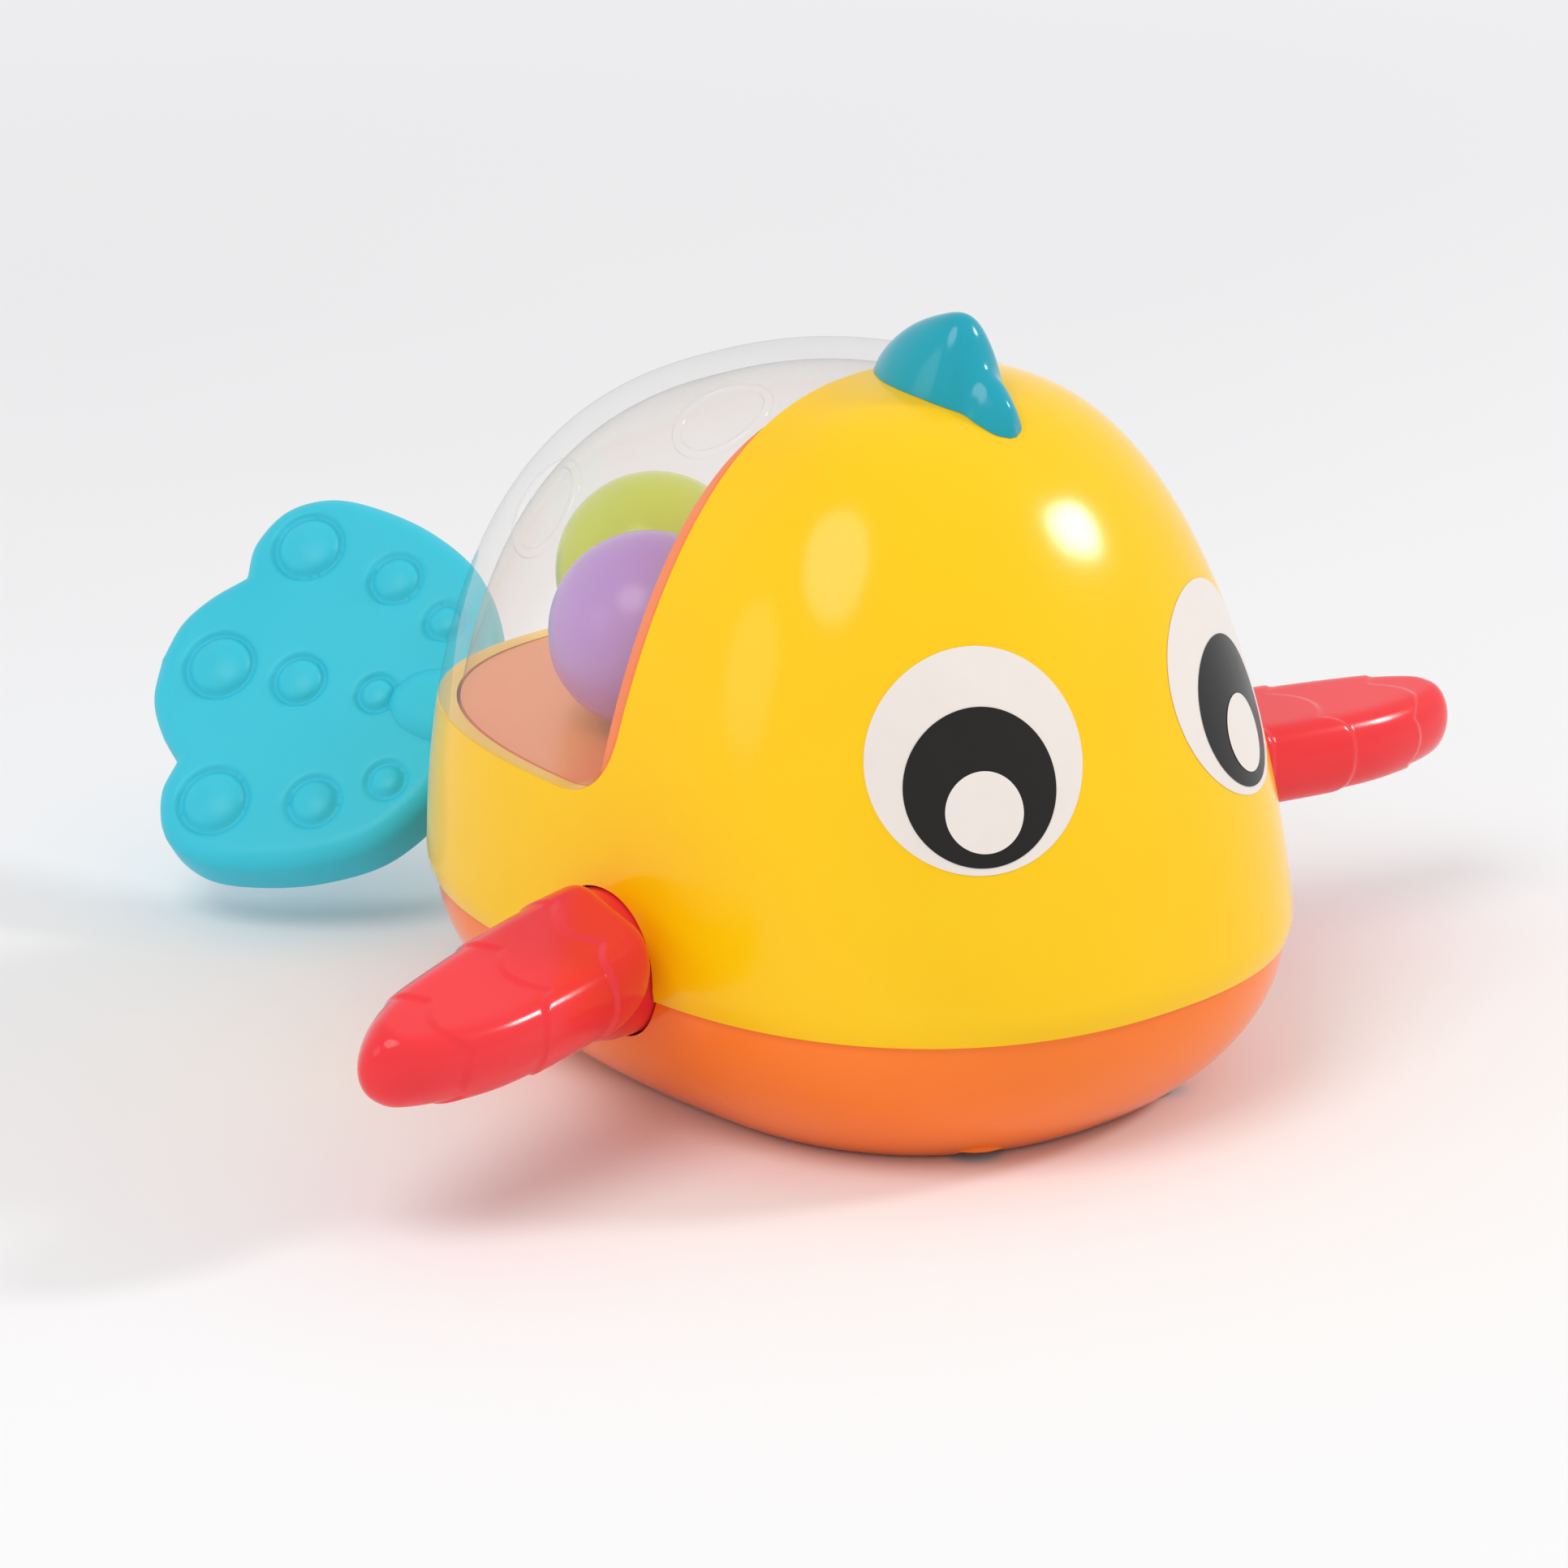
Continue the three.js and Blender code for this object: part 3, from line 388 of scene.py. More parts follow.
def body_rings(inset, start, levels=110):
    """Rings from a start height to the top, closer together where the back rounds over."""
    share = 1 - (1 - np.linspace(0, 1, levels)) ** TOP_CROWDING
    top = SHELL_HEIGHT - inset
    rings = [body_ring(start + (top - start) * step, inset) for step in share]
    rings[-1] = rings[-1] * 0 + rings[-1].mean(axis=0)
    return rings


def outside(points):
    """Positive outside the body, negative inside, for points in millimetres."""
    x, y, z = points[..., 0], points[..., 1], points[..., 2] - SEAM
    rise = np.clip((z - GIRTH_HEIGHT) / (SHELL_HEIGHT - GIRTH_HEIGHT), 0, 0.9999)
    length = np.where(x >= 0, NOSE_LENGTH * taper(rise, NOSE_POWER),
                      REAR_LENGTH * taper(rise, REAR_POWER))
    width = HALF_WIDTH * taper(rise, SIDE_POWER)
    power = np.where(x >= 0, PLAN_FRONT, PLAN_REAR)
    return (np.abs(x) / length) ** power + (np.abs(y) / width) ** power - 1


def surface_normal(point, reach=0.3):
    """The direction straight out of the body near a point."""
    slope = [outside(point + step) - outside(point - step) for step in np.eye(3) * reach]
    return np.array(slope) / np.linalg.norm(slope)


def face_axes(normal):
    """Two directions along a face: level, and up its slope."""
    across = np.cross((0, 0, 1), normal)
    across /= np.linalg.norm(across)
    return across, np.cross(normal, across)


def pressed(points, normal, reach=12.0, halvings=40):
    """Points pushed along a direction until they lie on the body."""
    near = np.full((len(points), 1), -reach)
    far = np.full((len(points), 1), reach)
    for _ in range(halvings):
        middle = (near + far) / 2
        within = outside(points + middle * normal)[:, None] < 0
        near = np.where(within, middle, near)
        far = np.where(within, far, middle)
    return points + near * normal


print("body", NOSE_LENGTH + REAR_LENGTH, "mm long,", 2 * HALF_WIDTH, "mm wide")

# %% [markdown]
# ## Helper solids for the openings
# The window is one side outline pushed through the whole width, with a rounded lower front
# corner. The fins and the cord leave through round holes. These solids only cut or trim.

# %% Window and hole solids
WINDOW_TOP_X = -4.8
WINDOW_LOW_X = -8.4
WINDOW_SILL = 19.7
WINDOW_CORNER = 8.0
AXLE_X = -7.3
AXLE_Z = SEAM + 2.3
HUB_RADIUS = 8.3
HUB_GAP = 0.25
HUB_REACH = 90.0
CORD_Z = SEAM + 5.6
CORD_HOLE = (-120.0, -30.0)
BUSH_RADIUS = 4.0
BUSH_GAP = 0.3
CUT_REACH = 200.0
CORNER_STEPS = 16
ASKEW = (0.3, 0.5, 0.8)


def across_body(outline, wide=120.0):
    """A side outline of x and z pushed through the whole width, as a cutting tool."""
    sides = [np.array([(x, y, z) for x, z in outline]) for y in (-wide, wide)]
    return skin("side_tool", sides, yellow_abs)


def window_front(z):
    """Where the window's sloping front edge is at a height."""
    slope = (WINDOW_TOP_X - WINDOW_LOW_X) / (SHELL_HEIGHT - WINDOW_SILL)
    return WINDOW_LOW_X + slope * (z - SEAM - WINDOW_SILL)


def window_solid(grow):
    """The window's side outline, grown by a distance, as a solid across the body."""
    sill = SEAM + WINDOW_SILL - grow
    round_off = WINDOW_CORNER + grow
    corner = ((window_front(sill) + grow - round_off, sill), (window_front(sill) + grow, sill),
              (window_front(sill + round_off) + grow, sill + round_off))
    outline = [(-CUT_REACH, CUT_REACH), (-CUT_REACH, sill), corner[0]]
    for t in np.linspace(0, 1, CORNER_STEPS + 1)[1:]:
        shares = (1 - t) ** 2, 2 * t * (1 - t), t * t
        outline.append(tuple(sum(w * point[k] for w, point in zip(shares, corner)) for k in (0, 1)))
    outline.append((window_front(CUT_REACH) + grow, CUT_REACH))
    return across_body(outline)


def rod(radius, start, end, sides=96):
    """A round rod between two points in millimetres, as a cutting tool."""
    start, end = np.array(start, float), np.array(end, float)
    along = (end - start) / np.linalg.norm(end - start)
    across = np.cross(along, ASKEW)
    across /= np.linalg.norm(across)
    third = np.cross(along, across)
    angle = np.linspace(0, 2 * np.pi, sides, endpoint=False)[:, None]
    circle = radius * (np.cos(angle) * across + np.sin(angle) * third)
    return skin("rod_tool", [circle + start, circle + end], yellow_abs)


def hub_tool():
    """The round hole across the body in which both fin hubs turn."""
    return rod(HUB_RADIUS + HUB_GAP, (AXLE_X, -HUB_REACH, AXLE_Z), (AXLE_X, HUB_REACH, AXLE_Z))


def cord_tool():
    """The round hole in the rear wall that holds the cord's bush."""
    return rod(BUSH_RADIUS + BUSH_GAP, (CORD_HOLE[0], 0, CORD_Z), (CORD_HOLE[1], 0, CORD_Z))


print("window sill", WINDOW_SILL, "mm above the seam")

# %% [markdown]
# ## The yellow shell
# The shell is one thin moulding. Skinning it as an outer and an inner surface in one go gives a
# real wall at the window's edge, and the window and holes are then cut through it.

# %% Yellow shell
SHELL_WALL = 2.0
SEAM_GAP = 0.1
outer = body_rings(0.0, SEAM_GAP)
inner = body_rings(SHELL_WALL, SEAM_GAP)
shell = skin("shell", inner[::-1] + outer, yellow_abs)
shell = carve(shell, [window_solid(0.0), hub_tool(), cord_tool()])
dress(shell, "body", "yellow_shell", "upper_shell")

# %% [markdown]
# ## The orange hull
# The hull follows the body's outline at the seam, a little inside it, and rounds under to a flat
# base. Four deep holes for the screws show from below.

# %% Orange hull
HULL_DEPTH = 17.0
HULL_ROUND = 24.0
HULL_INSET = 0.4
HULL_WALL = 2.0
OUTER_LEVELS = 48
INNER_LEVELS = 32
FOOT_SHARE = 0.985
SCREW_SPOTS = ((24, 14), (24, -14), (-33, 19), (-33, -19))
SCREW_HOLE = 3.1
SCREW_SIDES = 40


def hull_ring(depth, inset):
    """The hull's outline at a depth below the seam."""
    ring = body_ring(0.0, inset) * math.sqrt(1 - (depth / HULL_ROUND) ** 2)
    ring[:, 2] = SEAM - depth
    return ring


hull_outer = [hull_ring(d, HULL_INSET) for d in np.linspace(HULL_DEPTH, 0, OUTER_LEVELS)]
foot = hull_outer[0] * (FOOT_SHARE, FOOT_SHARE, 1)
hull_inner = [hull_ring(d, HULL_INSET + HULL_WALL)
              for d in np.linspace(0, HULL_DEPTH - HULL_WALL, INNER_LEVELS)]
hull = skin("hull", [foot] + hull_outer + hull_inner, orange_abs)
screw_tools = [rod(SCREW_HOLE, (x, y, -1), (x, y, HULL_WALL + 1), SCREW_SIDES) for x, y in SCREW_SPOTS]
hull = carve(hull, [hub_tool(), cord_tool()] + screw_tools)
dress(hull, "body", "orange_hull", "lower_hull")

# %% [markdown]
# ## The hull's inside
# The lip that centres the shell and the four screw towers sit inside the hull. They hide behind
# the shell, yet they close the screw holes when the toy is turned over.

# %% Hull lip
LIP_OUT = 2.3
LIP_WALL = 1.4
LIP_HEIGHT = 2.5
LIP_FOOT = -0.6
LIP_PROFILE = ((LIP_FOOT, LIP_OUT), (LIP_HEIGHT, LIP_OUT), (LIP_HEIGHT, LIP_OUT + LIP_WALL),
               (LIP_FOOT, LIP_OUT + LIP_WALL), (LIP_FOOT, LIP_OUT))
lip_rings = [body_ring(height, inset) for height, inset in LIP_PROFILE]
lip_faces = skin_faces(len(lip_rings), AROUND, caps=False)
lip = make_object("hull_lip", np.concatenate(lip_rings), lip_faces, orange_abs)
lip = carve(lip, [hub_tool(), cord_tool()])
dress(lip, "body", "orange_hull")

# %% Screw towers
TOWER = 4.0
TOWER_FOOT = 1.2
TOWER_TOP = 16.9
SCREW_SEAT = 8.5
SCREW_BORE = 1.7
TOWER_PROFILE = ((SCREW_HOLE, TOWER_FOOT), (SCREW_HOLE, SCREW_SEAT), (SCREW_BORE, SCREW_SEAT),
                 (SCREW_BORE, TOWER_TOP), (TOWER, TOWER_TOP), (TOWER, TOWER_FOOT),
                 (SCREW_HOLE, TOWER_FOOT))
circle = np.linspace(0, 2 * np.pi, SCREW_SIDES, endpoint=False)
for index, (x, y) in enumerate(SCREW_SPOTS, 1):
    rings = [np.stack([x + radius * np.cos(circle), y + radius * np.sin(circle),
                       np.full(SCREW_SIDES, z)], axis=1)
             for radius, z in TOWER_PROFILE]
    tower_faces = skin_faces(len(rings), SCREW_SIDES, caps=False)
    tower = make_object(f"screw_tower_{index}", np.concatenate(rings), tower_faces, orange_abs)
    dress(tower, "body", "orange_hull")

# %% [markdown]
# ## The clear dome's finish
# The window is polystyrene, moulded clear. It is thin and polished, so it hides little: mostly
# it adds a faint milky veil, and bright reflections at grazing angles. A see-through shader lets
# light by without bending it, which keeps the balls behind it bright. The veil drifts over about
# 18 mm, as the plastic flowed in its mould.

# %% Clear dome finish
def clear_polystyrene():
    """Clear moulded polystyrene: see-through, faintly milky, with sharp reflections."""
    material, tree = new_finish("polystyrene moulded clear, polished")
    place = put(tree, "ShaderNodeTexCoord")
    flow = put(tree, "ShaderNodeTexNoise", values={"Scale": 1 / (18 * MM), "Detail": 1.0},
               links={"Vector": place.outputs["Object"]})
    wave = put(tree, "ShaderNodeBump", values={"Strength": 0.08, "Distance": 0.5 * MM},
               links={"Height": flow.outputs["Fac"]})
    veil = put(tree, "ShaderNodeMapRange", values={"To Min": 0.03, "To Max": 0.09},
               links={"Value": flow.outputs["Fac"]})
    milk = put(tree, "ShaderNodeBsdfPrincipled",
               values={"Base Color": linear("F4F2EA"), "Roughness": 0.08, "IOR": 1.59},
               links={"Alpha": veil.outputs["Result"], "Normal": wave.outputs["Normal"]})
    shine = put(tree, "ShaderNodeBsdfGlossy", values={"Color": linear("DADCDA"), "Roughness": 0.03},
                links={"Normal": wave.outputs["Normal"]})
    edge = put(tree, "ShaderNodeLayerWeight", values={"Blend": 0.5},
               links={"Normal": wave.outputs["Normal"]})
    steep = put(tree, "ShaderNodeMath", {"operation": "POWER"}, {1: 4.0}, {0: edge.outputs["Facing"]})
    rim = put(tree, "ShaderNodeMapRange", values={"To Min": 0.02, "To Max": 0.8},
              links={"Value": steep.outputs[0]})
    side = put(tree, "ShaderNodeNewGeometry")
    front = put(tree, "ShaderNodeMath", {"operation": "SUBTRACT"},
                {0: 1.0}, {1: side.outputs["Backfacing"]})
    glance = put(tree, "ShaderNodeMath", {"operation": "MULTIPLY"},
                 links={0: rim.outputs["Result"], 1: front.outputs[0]})
    mixed = put(tree, "ShaderNodeMixShader",
                links={0: glance.outputs[0], 1: milk.outputs["BSDF"], 2: shine.outputs["BSDF"]})
    ray = put(tree, "ShaderNodeLightPath")
    clear = put(tree, "ShaderNodeBsdfTransparent", values={"Color": linear("FBFBFA")})
    lit = put(tree, "ShaderNodeMixShader",
              links={0: ray.outputs["Is Shadow Ray"], 1: mixed.outputs[0], 2: clear.outputs[0]})
    put(tree, "ShaderNodeOutputMaterial", links={"Surface": lit.outputs[0]})
    return material


clear_ps = clear_polystyrene()
print("finish:", clear_ps.name)

# %% [markdown]
# ## The ball tray
# The tray closes the play chamber under and in front. It is the hull's orange painted lighter, as
# painted light where the chamber lies in shade, and it reaches the shell's inner wall. A thin strip
# along its front wall shows as a line inside the window's edge; it is a slice of a wall that follows the
# body.

# %% Ball tray
TRAY_WALL = 2.0
TRAY_IN = 2.4
STRIP_IN = 3.9
STRIP_WALL = 1.4
STRIP_REACH = 5.4
STRIP_SINK = 0.5
CHAMBER_START = 10.0
# painted light: a lighter copy of the hull's orange, standing in for light the shaded chamber lacks
tray_orange_painted_lighter = moulded_plastic("ABS moulded orange, painted lighter for shade", "FF8A38", "FF9242", 0.22)


def body_wall(name, inset, wall, finish):
    """A closed wall that follows the body at an inset."""
    rings = body_rings(inset + wall, CHAMBER_START)[::-1] + body_rings(inset, CHAMBER_START)
    return skin(name, rings, finish)


tray = skin("tray", body_rings(TRAY_IN, CHAMBER_START), tray_orange_painted_lighter)
tray = carve(tray, [window_solid(TRAY_WALL)], "INTERSECT")
tray = carve(tray, [window_solid(0.0)])
dress(tray, "body", "orange_hull", "ball_tray")
strip = body_wall("tray_strip", STRIP_IN, STRIP_WALL, orange_abs)
strip = carve(strip, [window_solid(STRIP_SINK)], "INTERSECT")
behind = [(window_front(z) - STRIP_REACH, z) for z in (0, CUT_REACH)]
strip = carve(strip, [across_body([(-CUT_REACH, 0)] + behind + [(-CUT_REACH, CUT_REACH)])])
dress(strip, "body", "orange_hull")

# %% [markdown]
# ## The clear dome
# The dome fills the window flush with the shell. The flange that holds it hides behind the shell's
# edge, so it is left out here: every clear layer that light crosses makes the chamber darker.
# Two raised rings on each side break up its surface. Each is a thin tube bent to a circle, pressed
# on to the body's formula and joined to the dome.

# %% Clear dome
DOME_WALL = 2.4
JOIN_GAP = 0.3
RING_SPOTS = ((-31.3, 26.1, 62.4), (-11.7, 18.1, 75.2))
RING_RADIUS = 5.4
RING_TUBE = 0.6
RING_POINTS = 96
TUBE_TURNS = 13


def moulded_ring(centre):
    """A thin ring lying on the dome, half sunk in it."""
    normal = surface_normal(centre)
    across, up_slope = face_axes(normal)
    turn = np.linspace(0, 2 * np.pi, RING_POINTS, endpoint=False)[:, None]
    spokes = np.cos(turn) * across + np.sin(turn) * up_slope
    middle = pressed(centre + RING_RADIUS * spokes, normal)
    rings = [middle + RING_TUBE * (math.cos(a) * spokes + math.sin(a) * normal)
             for a in np.linspace(0, 2 * np.pi, TUBE_TURNS)]
    faces = skin_faces(TUBE_TURNS, RING_POINTS, caps=False)
    return make_object("ring_tool", np.concatenate(rings), faces, clear_ps)


dome = carve(body_wall("dome", 0.0, DOME_WALL, clear_ps), [window_solid(-JOIN_GAP)], "INTERSECT")
raised = [moulded_ring(np.array((x, side * y, z))) for x, y, z in RING_SPOTS for side in (-1, 1)]
dome = carve(dome, raised, "UNION")
dress(dome, "body", "clear_plastic", "clear_dome")

# %% [markdown]
# ## The loose balls
# The balls are hollow polypropylene, moulded in two halves. A hair-thin raised line round the
# middle is where the halves meet, so each ball is a lathe of a circle with that small ridge.

# %% Loose balls
BALL_RADIUS = 11.2
BALL_GAP = 0.25
BALL_Z = SEAM + WINDOW_SILL + BALL_GAP + BALL_RADIUS
BALL_POINTS = 96
LINE_HEIGHT = 0.12
LINE_HALF = 0.5
SIDE_LEAN = 0.6
# Each ball: its place in x and y, how far its mould line leans in radians, its body, material slot
# and node, and its two tints.
BALLS = {
    "purple_ball": ((-24.0, -17.4), 0.7, "purple", "purple_plastic", "ball_purple", "B181CA", "BA8AD2"),
    "lime_ball": ((-40.4, -1.6), 1.1, "lime", "lime_plastic", "ball_lime", "C0CA08", "C8D212"),
}


def ball_rings(x, y, tilt):
    """Rings of a ball whose mould line is tilted out of the level."""
    rings = []
    turn = np.linspace(0, 2 * np.pi, BALL_POINTS, endpoint=False)
    lean = np.array(Matrix.Rotation(tilt, 3, "X") @ Matrix.Rotation(tilt * SIDE_LEAN, 3, "Y"))
    degrees = np.concatenate([np.linspace(-90, -4, 28), np.linspace(-3.5, 3.5, 15),
                              np.linspace(4, 90, 28)])
    for degree in degrees:
        a = math.radians(degree)
        ridge = LINE_HEIGHT * math.exp(-(BALL_RADIUS * a / LINE_HALF) ** 2)
        r = BALL_RADIUS - LINE_HEIGHT + ridge
        flat = np.stack([r * math.cos(a) * np.cos(turn), r * math.cos(a) * np.sin(turn),
                         np.full(BALL_POINTS, r * math.sin(a))], axis=1)
        rings.append(flat @ lean.T + (x, y, BALL_Z))
    return rings


for name, ((x, y), tilt, body, slot, node, colour, shade) in BALLS.items():
    finish = moulded_plastic(f"polypropylene moulded, {name}", colour, shade, 0.24,
                             soft=0.1, ior=1.49, shine=0.45)
    ball = skin(name, ball_rings(x, y, tilt), finish)
    dress(ball, body, slot, node)

# %% [markdown]
# ## The printed eyes
# Each eye is pad-printed: a soft pad presses ink on the curved shell along one direction, first
# white, then black, then the white glint. So each disc is laid flat in front of the shell and
# pushed straight in until it meets the body's formula.

# %% Eye inks
def pad_ink(name, colour, shade, roughness):
    """Cured pad-printing ink: a thin satin film with slightly uneven cover."""
    material, tree = new_finish(name)
    place = put(tree, "ShaderNodeTexCoord")
    cover = put(tree, "ShaderNodeTexNoise", values={"Scale": 1 / (4 * MM), "Detail": 4.0},
                links={"Vector": place.outputs["Object"]})
    tint = put(tree, "ShaderNodeMix", {"data_type": "RGBA"},
               {"A": linear(colour), "B": linear(shade)}, {"Factor": cover.outputs["Fac"]})
    gloss = put(tree, "ShaderNodeMapRange",
                values={"To Min": roughness * 0.85, "To Max": roughness * 1.2},
                links={"Value": cover.outputs["Fac"]})
    film = put(tree, "ShaderNodeBsdfPrincipled", values={"IOR": 1.5, "Specular IOR Level": 0.3},
               links={"Base Color": tint.outputs["Result"], "Roughness": gloss.outputs["Result"]})
    put(tree, "ShaderNodeOutputMaterial", links={"Surface": film.outputs["BSDF"]})
    return material


white_ink = pad_ink("white pad-printing ink", "ECE2DA", "F0E8E1", 0.3)
black_ink = pad_ink("black pad-printing ink", "100D0B", "17120F", 0.3)
print("inks:", white_ink.name, "and", black_ink.name)

# %% Eyes
EYE_CENTRE = np.array((29.0, 19.0, SEAM + 29.6))
EYE_POINTS = 128
EYE_RINGS = 28
# Each disc: its name, radius, drop below the eye's centre, lift off the shell, ink and slot.
EYE_DISCS = (
    ("white", 12.1, 0.0, 0.06, white_ink, "white_print"),
    ("pupil", 8.5, 2.85, 0.12, black_ink, "black_print"),
    ("glint", 4.35, 5.5, 0.18, white_ink, "white_print"),
)


def pressed_disc(centre, normal, radius, drop, lift):
    """Rings of a flat disc pushed along the normal on to the body."""
    across, up_slope = face_axes(normal)
    turn = np.linspace(0, 2 * np.pi, EYE_POINTS, endpoint=False)[:, None]
    spokes = np.cos(turn) * across + np.sin(turn) * up_slope
    flats = [centre - drop * up_slope + share * radius * spokes
             for share in np.linspace(0, 1, EYE_RINGS)]
    return [pressed(flat, normal) + lift * normal for flat in flats]


for side, word in ((-1, "right"), (1, "left")):
    centre = EYE_CENTRE * (1, side, 1)
    normal = surface_normal(centre)
    for part, radius, drop, lift, ink, slot in EYE_DISCS:
        rings = pressed_disc(centre, normal, radius, drop, lift)
        faces = skin_faces(EYE_RINGS, EYE_POINTS, caps=False)
        disc = make_object(f"eye_{part}_print_{word}", np.concatenate(rings), faces, ink)
        dress(disc, "body", slot, f"eye_{part}_{word}")

# %% [markdown]
# ## The dorsal fin
# The fin on the back is one plump teal moulding with a peak, a saddle and a low nub in front. It
# is lofted through cross-sections along the back, then trimmed to sit on the shell.

# %% Dorsal fin
teal_abs = moulded_plastic("ABS moulded teal, polished", "0E9DB2", "12A6BA", 0.16)
# Cross-sections along the back: place in x, height over the shell's top, and half width.
CREST = np.array(((-5.6, -1.0, 1.0), (-4.6, 2.0, 4.4), (-1, 5.2, 6.6), (3, 7.2, 7.2), (6.5, 8.0, 6.4),
                  (8.5, 6.4, 5.6), (10.2, 2.8, 4.8), (12.0, 1.2, 4.3), (13.8, -0.8, 3.0),
                  (14.6, -3.0, 1.0)))
CREST_SINK = 10.2
CREST_SEAT = 0.05
CREST_SHARP = 50
ARCH_POINTS = 72
ARCH_POWER = 1.15
crest_rings = []
arch = np.linspace(0, np.pi, ARCH_POINTS)
base = SEAM + SHELL_HEIGHT - CREST_SINK
for x, top, half in through(CREST, 10):
    y = half * np.cos(arch)
    z = base + (top + CREST_SINK) * np.sin(arch) ** ARCH_POWER
    ring = np.stack([np.full(ARCH_POINTS, x), y, z], axis=1)
    crest_rings.append(np.concatenate([ring, [(x, -half, base - 1), (x, half, base - 1)]]))
crest = skin("dorsal_crest", crest_rings, teal_abs, CREST_SHARP)
crest = carve(crest, [skin("body_tool", body_rings(-CREST_SEAT, 1.0), yellow_abs)], sharp=CREST_SHARP)
dress(crest, "body", "teal_plastic", "dorsal_fin")

# %% [markdown]
# ## The swimming fins
# Each fin is a thick red paddle on a round hub. The blade is skinned through flat cross-sections
# with round edges, and the root swells from the hub into it. Remaking both as one fine even mesh
# and relaxing it fillets the inner corners, as the mould does.

# %% Fin blade and root
red_abs = moulded_plastic("ABS moulded red, polished", "EE2A33", "F4363C", 0.16, soft=0.05)
BLADE_THICK = 10.4
BLADE_LIFT = 5.5
BLADE_START = 41.2
BLADE_ROUND = 3.9
BLADE_REAR = ((BLADE_START, -5), (54, -2.9), (68, 0.6), (78, 4.2))
BLADE_TIP = (83.6, 9.6)
BLADE_FRONT = ((80.4, 15.2), (69, 17.0), (56, 15.2), (46, 12.4), (42, 8.4), (BLADE_START, 4))
EDGE_POINTS = 25
FLAT_POINTS = 40


def blade_section(wide, tall):
    """A flat section with round edges, as offsets in chord and height from its middle."""
    edge = min(wide, BLADE_ROUND)
    turn = np.linspace(-np.pi / 2, np.pi / 2, EDGE_POINTS)
    flat = np.linspace(edge - wide, wide - edge, FLAT_POINTS + 2)[1:-1]
    fore = np.stack([wide - edge + edge * np.cos(turn), tall * np.sin(turn)], axis=1)
    top = np.stack([flat[::-1], np.full(FLAT_POINTS, tall)], axis=1)
    return np.concatenate([fore, top, -fore, -top])


def blade_rings(stations=160, from_end=0.01):
    """Cross-sections of the blade as chord, span and height, closer together at both ends."""
    outline = through(BLADE_REAR + (BLADE_TIP,) + BLADE_FRONT, 40)
    split = outline[:, 0].argmax()
    rear, front = outline[:split + 1], outline[split:][::-1]
    tip = outline[split, 0]
    rings = []
    for share in (1 - np.cos(np.linspace(from_end, np.pi - from_end, stations))) / 2:
        span = BLADE_START + (tip - BLADE_START) * share
        back, fore = (np.interp(span, np.maximum.accumulate(line[:, 0]), line[:, 1])
                      for line in (rear, front))
        to_end = min(span - BLADE_START, tip - span, BLADE_ROUND)
        swell = math.sqrt(1 - (1 - to_end / BLADE_ROUND) ** 2)
        section = blade_section((fore - back) / 2, BLADE_THICK / 2 * swell)
        rings.append(np.stack([(back + fore) / 2 + section[:, 0], np.full(len(section), span),
                               BLADE_LIFT + section[:, 1]], axis=1))
    return rings


HUB_PROFILE = ((34, HUB_RADIUS - 0.6), (34.6, HUB_RADIUS), (38, HUB_RADIUS), (40.2, HUB_RADIUS))
ROOT_START = 40.6
ROOT_RUN = 13.0
ROOT_FORWARD = 5.0
ROOT_WIDE = 5.2
ROOT_TALL = 3.4


def root_rings(count=72, steps=24):
    """The hub and the root that swells from it into the blade."""
    angle = np.linspace(0, 2 * np.pi, count, endpoint=False)
    rings = []
    for span, radius in HUB_PROFILE:
        rings.append(np.stack([radius * np.cos(angle), np.full(count, span),
                               radius * np.sin(angle)], axis=1))
    for share in np.linspace(0, 1, steps)[1:]:
        ease = share * share * (3 - 2 * share)
        wide = HUB_RADIUS + (ROOT_WIDE - HUB_RADIUS) * ease
        tall = HUB_RADIUS + (ROOT_TALL - HUB_RADIUS) * ease
        span = ROOT_START + ROOT_RUN * share
        rings.append(np.stack([ROOT_FORWARD * ease + wide * np.cos(angle), np.full(count, span),
                               BLADE_LIFT * ease + tall * np.sin(angle)], axis=1))
    return rings


def relaxed(name, rings_list, voxel, rounds):
    """Points, normals and faces of some skins remade as one even mesh and smoothed."""
    points = np.concatenate([ring for rings in rings_list for ring in rings])
    faces = []
    start = 0
    for rings in rings_list:
        faces += skin_faces(len(rings), len(rings[0]), start)
        start += len(rings) * len(rings[0])
    rough = make_object(name, points, faces, red_abs)
    remake = rough.modifiers.new("remake", "REMESH")
    remake.mode = "VOXEL"
    remake.voxel_size = voxel * MM
    relax = rough.modifiers.new("relax", "SMOOTH")
    relax.factor = 0.5
    relax.iterations = rounds
    even = bpy.data.meshes.new_from_object(rough.evaluated_get(bpy.context.evaluated_depsgraph_get()))
    bpy.data.objects.remove(rough)
    spots = np.array([v.co for v in even.vertices]) / MM
    normals = np.array([v.normal for v in even.vertices])
    return spots, normals, [tuple(p.vertices) for p in even.polygons]


FIN_VOXEL = 0.32
FIN_ROUNDS = 14
fin_rings = [blade_rings(), root_rings()]
fin_points, fin_normals, fin_faces = relaxed("fin_rough", fin_rings, FIN_VOXEL, FIN_ROUNDS)
print("fin mesh", len(fin_points), "points")

# %% [markdown]
# ## Scales on the fins
# Three rows of overlapping scales thicken the fin in shallow steps towards the root. How many
# rows cover a point decides how far the point stands out, with a soft edge as polished tools leave.

# %% Fins with scales
SCALE_STEP = 0.28
SCALE_ENDS = (73.0, 60.0, 49.0)
SCALE_WIDTH = 8.0
SCALE_BULGE = 2.6
SCALE_SOFT = 0.9
FIN_PHASE = {"right": 18.0, "left": 6.0}


